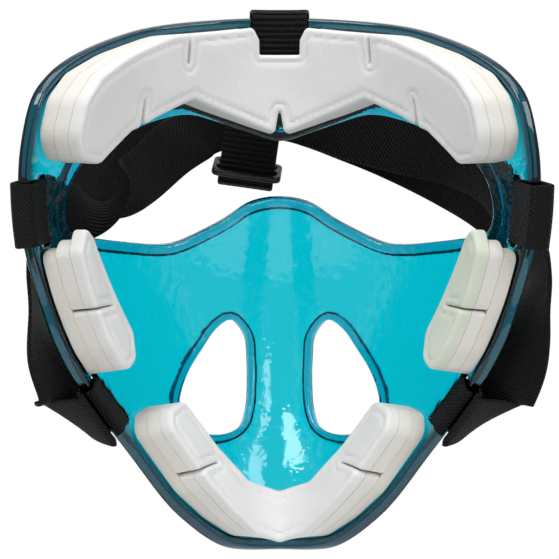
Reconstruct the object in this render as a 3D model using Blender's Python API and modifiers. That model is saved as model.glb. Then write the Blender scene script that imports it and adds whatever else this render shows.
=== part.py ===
"""Short-corner face mask for field hockey.

A clear tinted shell wraps the face.  Four foam pads line it, each in three glued layers, and an
elastic harness is looped through five slots near its edge and lies in front of the brow.

The shell and the pads are drawn as flat patterns with u round the face and z up it, cut, and
then wrapped onto one wall surface, t being the distance outwards from the shell's inner face.
+X is to the side, +Z is up and +Y is away from the face.
"""
from math import cos, pi, radians, sin

import bmesh
import bpy
import numpy as np
from mathutils import Matrix, Vector

MM = 0.001

# ---- the wall surface: height, depth of the front line, half width ----
STATIONS = MM * np.array([
    (-120.0, 76.0, 33.0),
    (-100.0, 83.0, 50.5),
    (-75.0, 90.5, 69.5),
    (-50.0, 97.0, 84.0),
    (-25.0, 101.0, 94.5),
    (0.0, 99.0, 101.0),
    (25.0, 91.0, 104.0),
    (50.0, 84.0, 102.0),
    (75.0, 79.0, 97.0),
    (100.0, 72.5, 92.0),
    (120.0, 66.0, 90.0),
])
CENTRE_Y = -35.0 * MM       # the upright axis that the pattern is wrapped round
WRAP_RADIUS = 100.0 * MM    # u is the angle round that axis times this
RIDGE_RISE = 6.0 * MM       # the nose ridge stands this far out of the wall
RIDGE_TOP = 40.0 * MM
RIDGE_FOOT = -88.0 * MM
RIDGE_HALF_TOP = 8.0 * MM
RIDGE_HALF_FOOT = 13.0 * MM

# ---- shell ----
WALL = 3.0 * MM
LIP = WALL + 2.0 * MM       # thickness at the raised lips
LIP_RIM = 4.6 * MM          # widths of the lips round the rim, the eyes and the breathing holes
LIP_EYES = 5.0 * MM
LIP_HOLE = 4.0 * MM
GRID = 12.0 * MM            # wrapped faces are cut at this spacing, and at half of it near u = 0
FINE_HALF = 30.0 * MM
GAP = 0.35 * MM             # clearance between pieces that touch

RIM = MM * np.array([
    (0, 111.2), (28, 109.3), (54, 104.3), (76, 96), (94, 87), (106, 78.5), (114, 68.5), (116, 52),
    (114.5, 36), (109.5, 13), (102.5, -7), (95.5, -26.5), (82.5, -46.5), (67, -66), (50, -88.5),
    (36, -101), (21.5, -110.8), (10, -115), (0, -116),
])
EYES = MM * np.array([
    (0, 60), (11, 63.5), (22, 67.3), (34, 70.3), (46, 67.8), (60, 61.5), (77, 51), (85.5, 40),
    (88, 28.5), (85.5, 20.5), (78, 17.8), (68, 16.8), (55, 15.6), (43, 14.8), (34.5, 16.3),
    (21, 24.6), (10.6, 32.8), (0, 35.8),
])
HOLE = MM * np.array([
    (15.5, -18), (21, -22), (26, -30.5), (32, -41), (36, -51.5), (36, -59), (30.5, -65.3),
    (20.5, -67.5), (13.2, -64.5), (10.4, -57), (9.6, -47), (9.6, -36), (10.5, -25),
])

# ---- slots for the webbing: centre on the pattern and distance in from the rim ----
STRAP_WIDTH = 25.0 * MM
STRAP_THICK = 1.6 * MM
SLOT_LENGTH = STRAP_WIDTH + 3.4 * MM
SLOT_WIDTH = 4.7 * MM
LOOP_GAP = 0.65 * MM        # between the webbing and the wall that it bends round
LOOP_TAIL = 7.0 * MM        # the sewn end of a loop, inwards of its slot
DROP_REACH = 1.9 * MM       # how far beyond the rim the jaw loops are sewn shut
UPPER_SLOT = (102.6 * MM, 27.0 * MM, 78.0)   # u, z and the slot's slope in degrees
UPPER_BAR = 8.1 * MM
LOWER_SLOT = (73.3 * MM, -48.2 * MM, 51.5)
LOWER_BAR = 5.4 * MM
TOP_SLOT = (0.0, 95.0 * MM, 0.0)
TOP_BAR = 14.8 * MM

# ---- foam pads: corners (u, z, corner radius) of the right half, or of the right pad ----
LAYER = 5.5 * MM
PAD_GAP = 0.7 * MM          # the glue line behind each layer
CHIN_GAP = 0.9 * MM         # the same where the wall is bent most
PAD_LEVEL = 0.4                     # how much of the wall's climb the pads' edges follow
PAD_TURN = -86.0 * MM
NOTCH_HALF = 10.0                   # in mm, as the corners are
NOTCH_HALF_BASE = STRAP_WIDTH / 2 / MM + 0.9
NOTCH_FLOOR = 95.8
NOTCH_FLOOR_BASE = 92.0
BROW_PAD = [
    (0.5, 72, 0.4), (2.2, 62.7, 2), (18.7, 68.7, 10), (41.4, 76.1, 3), (59.3, 68, 20),
    (74, 61, 8), (92, 46.5, 5), (105.5, 47.3, 7), (112.3, 56, 10), (110.5, 70, 10),
    (101, 80.5, 12), (82, 90.5, 30), (56, 101, 40), (14, 106.8, 3),
]
BROW_SLITS = [(46.0, 110.0, 90.5), (68.5, 57.0, 74.0)]   # u, open end and closed end
CHEEK_PAD = [(105.5, 10, 5), (100, -8, 60), (91.5, -29, 20), (84, -39.5, 5), (74.5, -35, 7),
             (72.5, -23, 9), (84, -1.5, 60)]
CHEEK_TOPS = {"base": [(89.5, 9.5, 6), (98, 12.6, 3)], "core": [(92, 13.5, 6), (100, 16.5, 5)],
              "face": [(94, 17, 8), (100, 21, 7)]}
CHEEK_SLIT = (-13.0, 105.5, 85.0)                        # z, open end and closed end
CHIN_PAD = [
    (0, -92.4, 3), (22, -88, 10), (36, -73, 12), (50, -53, 4), (61, -56, 5), (65, -63.5, 6),
    (48.5, -87.5, 18), (35, -99, 20), (20.5, -108.6, 12), (0, -113.2, 20),
]
CHIN_SLIT = ((58, -95), (38.5, -80))                     # open end and closed end
SLIT = 1.1 * MM
BROW_REST_HEIGHT = 82.0 * MM        # the height on the pad that meets the middle of the brow

# ---- harness: the crossing in front of the brow and the routes to it ----
HUB = Vector((-11.0, 107.0, 76.0)) * MM
HUB_TILT = radians(8.0)
LAYER_STEP = STRAP_THICK + GAP
UPPER_ROUTE = [                  # centre (x, y, z) and outward face of the webbing
    (-91, 45, 27.2, -0.8, 0.6, 0), (-84, 57, 28.5, -0.75, 0.65, 0),
    (-73, 71, 34.5, -0.65, 0.75, 0.1), (-60, 84.5, 45, -0.5, 0.85, 0.1),
    (-47.5, 96.5, 58, -0.3, 0.95, 0.1), (-38.5, 104.5, 65, -0.05, 1, 0),
    (-32, 107, 69.3, 0, 1, 0), (-11, 107, 76, 0, 1, 0), (4, 107, 75.2, 0, 1, 0),
    (17, 105.4, 71.5, 0.12, 1, 0), (32, 101.3, 66, 0.25, 1, 0), (53.5, 94, 59.5, 0.35, 0.9, 0),
    (73, 80, 53.5, 0.6, 0.8, 0.1), (86, 60, 45, 0.75, 0.65, 0.1), (92, 44, 35.5, 0.85, 0.55, 0),
]
LOWER_ROUTE = [
    (-89, 36, -44, -0.75, 0.6, -0.2), (-94, 32, -30, -0.9, 0.4, -0.1),
    (-97, 33, -14, -1, 0.1, 0), (-98.5, 38, -2, -1, 0.15, 0), (-98, 44, 8, -0.97, 0.25, 0),
    (-95, 54, 20, -0.92, 0.4, 0), (-88.5, 66.5, 32, -0.82, 0.57, 0),
    (-78.5, 79, 43, -0.7, 0.7, 0), (-66, 92, 52, -0.5, 0.85, 0.1),
    (-52, 102.5, 60.5, -0.3, 0.95, 0.1), (-41, 108.3, 66, -0.05, 1, 0),
    (-31, 109, 70.8, 0, 1, 0), (-11, 108.95, 76, 0, 1, 0), (4, 108.95, 75.2, 0, 1, 0),
    (17, 108.2, 71.5, 0.1, 1, 0), (32, 105.4, 65.5, 0.2, 1, 0), (45, 102, 60, 0.25, 0.97, 0),
    (60, 96, 52.5, 0.35, 0.92, 0), (75, 86, 43.5, 0.5, 0.85, 0), (88, 71, 33.5, 0.65, 0.75, 0),
    (99, 56, 21, 0.85, 0.5, 0), (104, 42, 8, 0.95, 0.25, 0), (103.5, 36, -2, 1, 0.15, 0),
    (100.5, 33, -14, 1, 0.1, 0), (97, 33, -32, 0.9, 0.35, -0.1), (92, 36, -45, 0.75, 0.6, -0.2),
]
FOLD = (-87.5, 41, -55.5, -0.7, -0.4, 0.5)   # the jaw strap's diagonal fold, left: centre, across
SLIDER_SIZE = Vector((31.5, 17.0, 2.8)) * MM
SLIDER_TILT = radians(28.0)
SLIDER_DROP = 26.5 * MM      # below the crossing, along the doubled strap
LOOP_FLOOR = 31.0 * MM       # centre of the fold that ends the doubled strap
LOOP_TOP = 18.8 * MM         # the strap passes this far above the crossing
LOOP_END = 10.5 * MM         # and its free end stops this far above it

COLOURS = {
    "shell": ((0.0, 0.48, 0.62), 0.06),
    "base": ((0.82, 0.80, 0.73), 0.85),
    "core": ((0.84, 0.82, 0.76), 0.85),
    "face": ((0.90, 0.90, 0.90), 0.80),
    "strap": ((0.02, 0.02, 0.022), 0.90),
    "slider": ((0.015, 0.015, 0.017), 0.35),
}


# ---------------------------------------------------------------- scene ----
for old in list(bpy.data.objects):
    bpy.data.objects.remove(old, do_unlink=True)


def collection(name):
    """A collection in the scene."""
    made = bpy.data.collections.new(name)
    bpy.context.scene.collection.children.link(made)
    return made


PARTS = collection("hockey_face_mask")
CUTTERS = collection("cutters")


def material(name, kind):
    """A Principled material of its own for one sub-part."""
    colour, roughness = COLOURS[kind]
    made = bpy.data.materials.new(name)
    made.use_nodes = True
    shader = made.node_tree.nodes["Principled BSDF"]
    shader.inputs["Base Color"].default_value = (*colour, 1.0)
    shader.inputs["Roughness"].default_value = roughness
    shader.inputs["Metallic"].default_value = 0.0
    if kind == "shell":
        shader.inputs["Transmission Weight"].default_value = 0.9
        shader.inputs["IOR"].default_value = 1.585
    return made


def add(name, mesh, kind, where=None):
    """Puts a mesh in the scene as one named object."""
    made = bpy.data.objects.new(name, mesh)
    (where or PARTS).objects.link(made)
    mesh.materials.clear()
    if where is None:
        mesh.materials.append(material(name, kind))
    else:
        made.hide_render = True
        made.display_type = "WIRE"
    return made


# -------------------------------------------------------- wall surface ----
def natural_spline(x, xs, ys):
    """A natural cubic spline through (xs, ys), read at x."""
    n = len(xs)
    h = np.diff(xs)
    system = np.eye(n)
    right = np.zeros(n)
    for i in range(1, n - 1):
        system[i, i - 1:i + 2] = h[i - 1], 2 * (h[i - 1] + h[i]), h[i]
        right[i] = 6 * ((ys[i + 1] - ys[i]) / h[i] - (ys[i] - ys[i - 1]) / h[i - 1])
    bend = np.linalg.solve(system, right)
    k = np.clip(np.searchsorted(xs, x) - 1, 0, n - 2)
    p = (xs[k + 1] - x) / h[k]
    q = (x - xs[k]) / h[k]
    sag = ((p ** 3 - p) * bend[k] + (q ** 3 - q) * bend[k + 1]) * h[k] ** 2 / 6
    return p * ys[k] + q * ys[k + 1] + sag


def ramp(x, start, end):
    """Goes smoothly from 0 at start to 1 at end."""
    s = np.clip((x - start) / (end - start), 0.0, 1.0)
    return s * s * (3 - 2 * s)


def ridge(u, z):
    """How far the nose ridge stands out: a bell across it, faded at its top and foot."""
    down = np.clip((RIDGE_TOP - z) / (RIDGE_TOP - RIDGE_FOOT), 0.0, 1.0)
    half = RIDGE_HALF_TOP + (RIDGE_HALF_FOOT - RIDGE_HALF_TOP) * down
    rise = RIDGE_RISE * ramp(z, RIDGE_FOOT, RIDGE_FOOT + 35 * MM)
    rise = rise * ramp(z, RIDGE_TOP + 22 * MM, RIDGE_TOP - 8 * MM)
    return rise * np.exp(-(u / half) ** 2)


def wall_point(u, z, nose):
    """The shell's inner face: at each height an ellipse from the half width to the front line."""
    turn = u / WRAP_RADIUS
    wide = natural_spline(z, STATIONS[:, 0], STATIONS[:, 2])
    deep = natural_spline(z, STATIONS[:, 0], STATIONS[:, 1]) - CENTRE_Y
    radius = 1 / np.sqrt((np.sin(turn) / wide) ** 2 + (np.cos(turn) / deep) ** 2)
    radius = radius + (ridge(u, z) if nose else 0.0)
    return np.stack([radius * np.sin(turn), CENTRE_Y + radius * np.cos(turn), z + 0 * u], axis=-1)


def wrap(u, z, t, nose=False, level=1.0):
    """The place at pattern (u, z), t outwards from the shell's inner face.

    A level under 1 keeps only that much of the climb of the way out, as the pads are cut.  Below
    PAD_TURN the pads keep the way out that they have there, so that they stay open at the chin.
    """
    u, z, t = (np.asarray(v, float) for v in (u, z, t))
    step = 0.5 * MM
    read = np.maximum(z, PAD_TURN) if level < 1 else z
    along_u = wall_point(u + step, read, nose) - wall_point(u - step, read, nose)
    along_z = wall_point(u, read + step, nose) - wall_point(u, read - step, nose)
    normal = np.cross(along_z, along_u)
    normal[..., 2] *= level
    normal /= np.linalg.norm(normal, axis=-1, keepdims=True)
    return wall_point(u, z, nose) + normal * t[..., None]


def stretch(u, z):
    """How much longer the wall is than the pattern there, along u and along z."""
    step = 0.5 * MM
    along_u = wall_point(u + step, z, False) - wall_point(u - step, z, False)
    along_z = wall_point(u, z + step, False) - wall_point(u, z - step, False)
    sizes = [np.linalg.norm(v, axis=-1) / (2 * step) for v in (along_u, along_z)]
    return np.stack(sizes, axis=-1)


# ------------------------------------------------------------- outlines ----
def mirrored(half):
    """A closed outline from its right half, whose two ends lie on u = 0."""
    half = np.asarray(half, float)
    return np.concatenate([half, (half * (-1, 1))[-2:0:-1]])


def smooth(points, spacing):
    """A closed Catmull-Rom curve through the points, about evenly spaced."""
    n = len(points)
    out = []
    for i in range(n):
        a, b, c, d = (points[(i + k) % n] for k in (-1, 0, 1, 2))
        steps = max(2, int(round(np.linalg.norm(c - b) / spacing)))
        for s in np.arange(steps) / steps:
            out.append(0.5 * (2 * b + (c - a) * s + (2 * a - 5 * b + 4 * c - d) * s ** 2
                              + (3 * b - a - 3 * c + d) * s ** 3))
    return np.array(out)


def rounded(corners):
    """A closed outline with each corner (u, z, radius in mm) turned by an arc."""
    spots = MM * np.array([(c[0], c[1]) for c in corners])
    n = len(spots)
    out = []
    for i in range(n):
        here = spots[i]
        back = spots[i - 1] - here
        on = spots[(i + 1) % n] - here
        lengths = np.linalg.norm(back), np.linalg.norm(on)
        back, on = back / lengths[0], on / lengths[1]
        half = np.arccos(np.clip(back @ on, -1, 1)) / 2
        reach = min(corners[i][2] * MM / np.tan(half), 0.48 * min(lengths))
        radius = reach * np.tan(half)
        middle = here + (back + on) / np.linalg.norm(back + on) * radius / np.sin(half)
        steps = max(1, int(np.ceil((pi - 2 * half) / radians(24))))
        first, last = here + back * reach - middle, here + on * reach - middle
        sweep = np.arctan2(first[0] * last[1] - first[1] * last[0], first @ last)
        for k in range(steps + 1):
            c, s = cos(sweep * k / steps), sin(sweep * k / steps)
            out.append(middle + np.array([c * first[0] - s * first[1], s * first[0] + c * first[1]]))
    return np.array(out)


def moved_in(outline, width):
    """The outline moved by width on the wall, to the side that its winding leaves inside."""
    size = stretch(outline[:, 0], outline[:, 1])
    onward = (np.roll(outline, -1, axis=0) - np.roll(outline, 1, axis=0)) * size
    onward /= np.linalg.norm(onward, axis=1, keepdims=True)
    area = np.sum(outline[:, 0] * np.roll(outline[:, 1], -1) - outline[:, 1] * np.roll(outline[:, 0], -1))
    side = np.stack([-onward[:, 1], onward[:, 0]], axis=1) * np.sign(area)
    return outline + side * width / size


def slot_outline(slot, side):
    """The round-cornered slot, on the left (-1) or the right (1)."""
    u, z, slope = slot
    size = stretch(np.array(u), np.array(z))
    c, s = cos(radians(slope)), sin(radians(slope))
    half_l, half_w = SLOT_LENGTH / 2 / MM, SLOT_WIDTH / 2 / MM
    box = rounded([(half_l, half_w, 1.2), (-half_l, half_w, 1.2), (-half_l, -half_w, 1.2),
                   (half_l, -half_w, 1.2)])
    turned = np.stack([c * box[:, 0] - s * box[:, 1], s * box[:, 0] + c * box[:, 1]], axis=1)
    placed = turned / size + (u, z)
    return placed * (side, 1)


# ------------------------------------------------------- flat patterns ----
def flat_solid(name, outlines, low, high):
    """A flat mesh between two values of t: the first outline filled, the others left open."""
    curve = bpy.data.curves.new(name, "CURVE")
    curve.dimensions = "2D"
    curve.fill_mode = "BOTH"
    curve.extrude = (high - low) / 2
    for outline in outlines:
        line = curve.splines.new("POLY")
        line.points.add(len(outline) - 1)
        line.points.foreach_set("co", np.column_stack([
            outline, np.zeros(len(outline)), np.ones(len(outline))]).ravel())
        line.use_cyclic_u = True
    held = bpy.data.objects.new(name, curve)
    CUTTERS.objects.link(held)
    held.location.z = (high + low) / 2
    bpy.context.view_layer.update()
    mesh = bpy.data.meshes.new_from_object(held.evaluated_get(bpy.context.evaluated_depsgraph_get()))
    mesh.transform(held.matrix_world)
    bpy.data.objects.remove(held)
    bm = bmesh.new()
    bm.from_mesh(mesh)
    bmesh.ops.remove_doubles(bm, verts=bm.verts, dist=0.01 * MM)
    bmesh.ops.recalc_face_normals(bm, faces=bm.faces)
    bm.to_mesh(mesh)
    bm.free()
    return mesh


def boolean(target, cutter, operation):
    """Cuts or joins one mesh with another and gives the new mesh."""
    held = [add("held", m, "face", CUTTERS) for m in (target, cutter)]
    change = held[0].modifiers.new("change", "BOOLEAN")
    change.operation = operation
    change.solver = "EXACT"
    change.object = held[1]
    bpy.context.view_layer.update()
    done = bpy.data.meshes.new_from_object(
        held[0].evaluated_get(bpy.context.evaluated_depsgraph_get()))
    for one in held:
        bpy.data.objects.remove(one)
    return done


def grid_lines(k, low, high):
    """Where a flat mesh is cut along one axis (0 for u, 1 for z)."""
    step = GRID / 2 if k == 0 else GRID
    lines = np.arange(int(np.ceil(low / step)), int(np.floor(high / step)) + 1)
    if k == 0:
        lines = lines[(np.abs(lines * step) <= FINE_HALF) | (lines % 2 == 0)]
    return lines * step


def on_grid(edge):
    """Whether an edge lies along a line of the grid."""
    a, b = (v.co for v in edge.verts)
    for k in (0, 1):
        lines = grid_lines(k, a[k] - GRID, a[k] + GRID)
        if abs(a[k] - b[k]) < 0.02 * MM and np.abs(lines - a[k]).min() < 0.04 * MM:
            return True
    return False


def gridded(mesh):
    """Cuts a flat mesh along the grid, leaving one face to a square where it can."""
    bm = bmesh.new()
    bm.from_mesh(mesh)
    for k in (0, 1):
        values = [v.co[k] for v in bm.verts]
        normal = Vector((1.0, 0.0, 0.0)) if k == 0 else Vector((0.0, 1.0, 0.0))
        for line in grid_lines(k, min(values), max(values)):
            bmesh.ops.bisect_plane(bm, geom=bm.verts[:] + bm.edges[:] + bm.faces[:],
                                   dist=0.01 * MM, plane_co=normal * line, plane_no=normal)
    spare = [e for e in bm.edges if len(e.link_faces) == 2 and not on_grid(e)
             and e.link_faces[0].normal.dot(e.link_faces[1].normal) > 0.99999]
    bmesh.ops.dissolve_edges(bm, edges=spare, use_verts=False, use_face_split=False)
    spare = []
    for v in bm.verts:
        if len(v.link_edges) == 2:
            a, b = (e.other_vert(v).co - v.co for e in v.link_edges)
            if a.normalized().dot(b.normalized()) < -0.99999:
                spare.append(v)
    bmesh.ops.dissolve_verts(bm, verts=spare)
    bmesh.ops.triangulate(bm, faces=bm.faces, quad_method="BEAUTY", ngon_method="BEAUTY")
    bm.to_mesh(mesh)
    bm.free()
    return mesh


def wrapped(name, mesh, kind, nose=False, level=1.0):
    """Wraps a flat mesh onto the wall and makes it an object."""
    flat = np.empty(len(mesh.vertices) * 3)
    mesh.vertices.foreach_get("co", flat)
    flat = flat.reshape(-1, 3)
    mesh.vertices.foreach_set("co", wrap(*flat.T, nose, level).ravel())
    bm = bmesh.new()
    bm.from_mesh(mesh)
    bmesh.ops.recalc_face_normals(bm, faces=bm.faces)
    bm.to_mesh(mesh)
    bm.free()
    mesh.shade_smooth()
    mesh.set_sharp_from_angle(angle=radians(30))
    return add(name, mesh, kind)


# ---------------------------------------------------------------- shell ----
def make_shell():
    """The wall with its eye opening, breathing holes and slots, and a lip round each opening."""
    rim = smooth(mirrored(RIM), 9 * MM)
    eyes = smooth(mirrored(EYES), 8 * MM)
    holes = [smooth(HOLE * (side, 1), 6 * MM) for side in (1, -1)]
    slots = [slot_outline(UPPER_SLOT, 1), slot_outline(UPPER_SLOT, -1),
             slot_outline(LOWER_SLOT, 1), slot_outline(LOWER_SLOT, -1), slot_outline(TOP_SLOT, 1)]
    body = flat_solid("wall", [rim, eyes] + holes + slots, 0.0, WALL)
    bands = [(rim, moved_in(rim, LIP_RIM)), (moved_in(eyes, -LIP_EYES), eyes)]
    bands += [(moved_in(hole, -LIP_HOLE), hole) for hole in holes]
    for band in bands:
        body = boolean(body, flat_solid("lip", band, WALL / 2, LIP), "UNION")
    return wrapped("shell", gridded(body), "shell", nose=True)


# ----------------------------------------------------------------- pads ----
def slit_cutter(start, end):
    """A thin flat cutter from the open end of a slit to its closed end."""
    start, end = (MM * np.array(p, float) for p in (start, end))
    side = np.array([start[1] - end[1], end[0] - start[0]])
    side *= SLIT / 2 / np.linalg.norm(side)
    outline = np.array([start - 1.6 * side, end - side, end + side, start + 1.6 * side])
    return flat_solid("slit", [outline], -30 * MM, 5 * MM)


def make_pad(name, outlines, slits, gap=PAD_GAP):
    """One pad of three glued layers, the slits through the two that face the wearer."""
    for number, kind in enumerate(("base", "core", "face")):
        high = -gap - number * (LAYER + gap)
        mesh = flat_solid(name, [outlines[kind]], high - LAYER, high)
        for slit in slits if kind != "base" else []:
            mesh = boolean(mesh, slit_cutter(*slit), "DIFFERENCE")
        wrapped(f"{name}_{kind}", gridded(mesh), kind, level=PAD_LEVEL)


def brow_outline(notch, floor):
    """The brow pad's outline with its notch for the top strap."""
    half = BROW_PAD[:-1] + [(notch + 3.2, BROW_PAD[-1][1], 3), (notch, floor + 6, 2.5),
                            (notch - 0.3, floor, 0.8)]
    return rounded(half + [(-u, z, r) for u, z, r in reversed(half)])


def make_pads():
    """The brow pad, the two cheek pads and the chin pad."""
    narrow = brow_outline(NOTCH_HALF, NOTCH_FLOOR)
    wide = brow_outline(NOTCH_HALF_BASE, NOTCH_FLOOR_BASE)
    slits = [((side * u, a), (side * u, b)) for side in (1, -1) for u, a, b in BROW_SLITS]
    make_pad("brow_pad", {"base": wide, "core": narrow, "face": narrow}, slits)
    for side, word in ((-1, "left"), (1, "right")):
        outlines = {kind: rounded([(side * u, z, r) for u, z, r in top + CHEEK_PAD])
                    for kind, top in CHEEK_TOPS.items()}
        z, a, b = CHEEK_SLIT
        make_pad(f"cheek_pad_{word}", outlines, [((side * (a + 6), z - 3), (side * b, z + 2))])
    corners = CHIN_PAD + [(-u, z, r) for u, z, r in CHIN_PAD[-2:0:-1]]
    slits = [((side * a[0], a[1]), (side * b[0], b[1])) for side in (1, -1) for a, b in [CHIN_SLIT]]
    make_pad("chin_pad", dict.fromkeys(("base", "core", "face"), rounded(corners)), slits, CHIN_GAP)


# -------------------------------------------------------------- webbing ----
def sheet(name, points, kind="strap"):
    """Webbing from a grid of points, along it and across it, thickened on both sides."""
    rows, columns = points.shape[:2]
    index = np.arange(rows * columns).reshape(rows, columns)
    faces = np.stack([index[:-1, :-1], index[1:, :-1], index[1:, 1:], index[:-1, 1:]], axis=-1)
    mesh = bpy.data.meshes.new(name)
    mesh.from_pydata(points.reshape(-1, 3).tolist(), [], faces.reshape(-1, 4).tolist())
    made = add(name, mesh, kind)
    thick = made.modifiers.new("thickness", "SOLIDIFY")
    thick.thickness = STRAP_THICK
    thick.offset = 0.0
    thick.use_even_offset = True
    return made


def arc(middle, radius, start, end, steps):
    """Points along an arc in the (v, t) plane, angles in degrees."""
    turns = np.radians(np.linspace(start, end, steps + 1))
    return [(middle[0] + radius * cos(a), middle[1] + radius * sin(a)) for a in turns]


def loop_path(bar, slack):
    """The way round a slot's bar: v outwards across the bar, t out of the wall."""
    near, far = SLOT_WIDTH / 2, SLOT_WIDTH / 2 + bar
    snug = LOOP_GAP + STRAP_THICK / 2
    loose = snug + 0.4 * MM
    path = [(-LOOP_TAIL, WALL + snug), (-2.6 * MM, WALL + snug)]
    path += [(-0.4 * MM, WALL - 0.1 * MM), (near - snug, 1.0 * MM)]
    path += arc((near, 0.0), snug, 180, 270, 3)
    path += arc((far + slack, 0.0), loose, 270, 360, 3)
    path += arc((far + slack, LIP), loose, 0, 90, 3)
    path += [(near + 0.5 * MM, LIP + snug)]
    return np.array(path)


def drop_path(bar):
    """The way round a slot's bar for a loop that is sewn shut beyond the rim."""
    near, far = SLOT_WIDTH / 2, SLOT_WIDTH / 2 + bar
    snug = LOOP_GAP + STRAP_THICK / 2
    tip, low = far + DROP_REACH, 1.6 * MM
    path = [(tip, low), (far + 1.3 * MM, -0.8 * MM), (far - 0.9 * MM, -snug)]
    path += arc((near, 0.0), snug, 270, 180, 3)
    path += arc((near, LIP), snug, 180, 90, 3)
    path += [(far - 0.5 * MM, LIP + snug), (tip, LIP - 0.2 * MM)]
    return np.array(path)


def place_on_slot(slot, side, v, t, s):
    """The place at v across a slot's bar, s along the slot and t out of the wall."""
    u0, z0, slope = slot
    size = stretch(np.array(u0), np.array(z0))
    c, w = cos(radians(slope)), sin(radians(slope))
    out = (w, -c) if slope else (0.0, 1.0)
    u = u0 + (s * c + v * out[0]) / size[0]
    z = z0 + (s * w + v * out[1]) / size[1]
    return wrap(side * u, z, t)


def anchor_loop(name, slot, side, path):
    """The sewn loop of webbing round one slot's bar."""
    s = np.linspace(-0.5, 0.5, 5) * STRAP_WIDTH
    v, across = np.meshgrid(path[:, 0], s, indexing="ij")
    t = np.broadcast_to(path[:, 1:2], v.shape)
    return sheet(name, place_on_slot(slot, side, v, t, across))


def route(stations, spacing=6 * MM):
    """Rows of the two edges of a strap from (centre, across) stations, by Catmull-Rom."""
    data = np.array([[*c, *a] for c, a in stations])
    data = np.concatenate([[2 * data[0] - data[1]], data, [2 * data[-1] - data[-2]]])
    rows = []
    for a, b, c, d in zip(data, data[1:], data[2:], data[3:]):
        steps = max(2, int(round(np.linalg.norm((c - b)[:3]) / spacing)))
        for s in np.arange(steps) / steps:
            rows.append(0.5 * (2 * b + (c - a) * s + (2 * a - 5 * b + 4 * c - d) * s ** 2
                               + (3 * b - a - 3 * c + d) * s ** 3))
    rows.append(data[-2])
    rows = np.array(rows)
    across = rows[:, 3:] / np.linalg.norm(rows[:, 3:], axis=1, keepdims=True) * STRAP_WIDTH / 2
    return np.stack([rows[:, :3] - across, rows[:, :3] + across], axis=1)


def facing(rows, before, after):
    """Stations from centres and outward faces, the width square to the way and to the face."""
    centres = np.array([before] + [MM * np.array(row[:3]) for row in rows] + [after])
    stations = []
    for k, row in enumerate(rows):
        way = centres[k + 2] - centres[k]
        across = np.cross(way, row[3:])
        stations.append((centres[k + 1], across / np.linalg.norm(across)))
    return stations


def slot_station(slot, side, v, t):
    """A station on a slot's outer side, with the webbing along the slot."""
    ends = [place_on_slot(slot, side, np.array(v), np.array(t), np.array(s)) for s in (-MM, MM)]
    across = ends[1] - ends[0]
    return (ends[0] + ends[1]) / 2, across / np.linalg.norm(across)


def cut_short(points, start=0.0, end=0.0):
    """Shortens a strap at its ends by small amounts, for the gap to its neighbour."""
    for first, second, amount in ((0, 1, start), (-1, -2, end)):
        onward = points[second] - points[first]
        points[first] = points[first] + onward * amount / np.linalg.norm(onward.mean(axis=0))
    return points


def split_at(whole, middle):
    """The two parts of a strap on either side of the crossing, with a small gap between."""
    split = int(np.argmin(np.linalg.norm(whole.mean(axis=1) - middle, axis=1)))
    first, second = whole[:split + 1].copy(), whole[split:].copy()
    return cut_short(first, GAP, GAP / 2), cut_short(second, GAP / 2, GAP)


def make_upper_straps():
    """The two straps from the temple slots, which meet at the crossing."""
    snug = LIP + LOOP_GAP + STRAP_THICK / 2
    ends = {side: [slot_station(UPPER_SLOT, side, v * MM, snug) for v in (1.8, -5.0, -12.0)]
            for side in (-1, 1)}
    middle = facing(UPPER_ROUTE, ends[-1][-1][0], ends[1][-1][0])
    whole = route(ends[-1] + middle + ends[1][::-1])
    for word, part in zip(("left", "right"), split_at(whole, np.array(HUB))):
        sheet(f"upper_strap_{word}", part)


def make_lower_straps():
    """The two straps from the jaw slots, up the sides and on to the crossing."""
    tip = SLOT_WIDTH / 2 + LOWER_BAR + DROP_REACH + 3 * GAP
    middle = (1.6 * MM + LIP - 0.2 * MM) / 2
    left, right = ([slot_station(LOWER_SLOT, side, tip + way, middle) for way in (0, 3 * MM)]
                   for side in (-1, 1))
    folds = [(MM * np.array(FOLD[:3]) * (side, 1, 1), np.array(FOLD[3:]) * (side, 1, 1))
             for side in (1, -1)]
    middle = facing(LOWER_ROUTE, folds[0][0], folds[1][0])
    stations = left + [folds[0]] + middle + [folds[1]] + right[::-1]
    crossing = np.array(HUB) + (0.0, LAYER_STEP, 0.0)
    for word, part in zip(("left", "right"), split_at(route(stations), crossing)):
        sheet(f"lower_strap_{word}", part)


HUB_ACROSS = np.array((cos(HUB_TILT), 0.0, -sin(HUB_TILT)))
HUB_UP = np.array((sin(HUB_TILT), 0.0, cos(HUB_TILT)))
HUB_OUT = np.array((0.0, 1.0, 0.0))
FRONT_RUN = -LAYER_STEP                 # the doubled strap's two runs, measured from the crossing
REAR_RUN = 2 * LAYER_STEP


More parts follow.
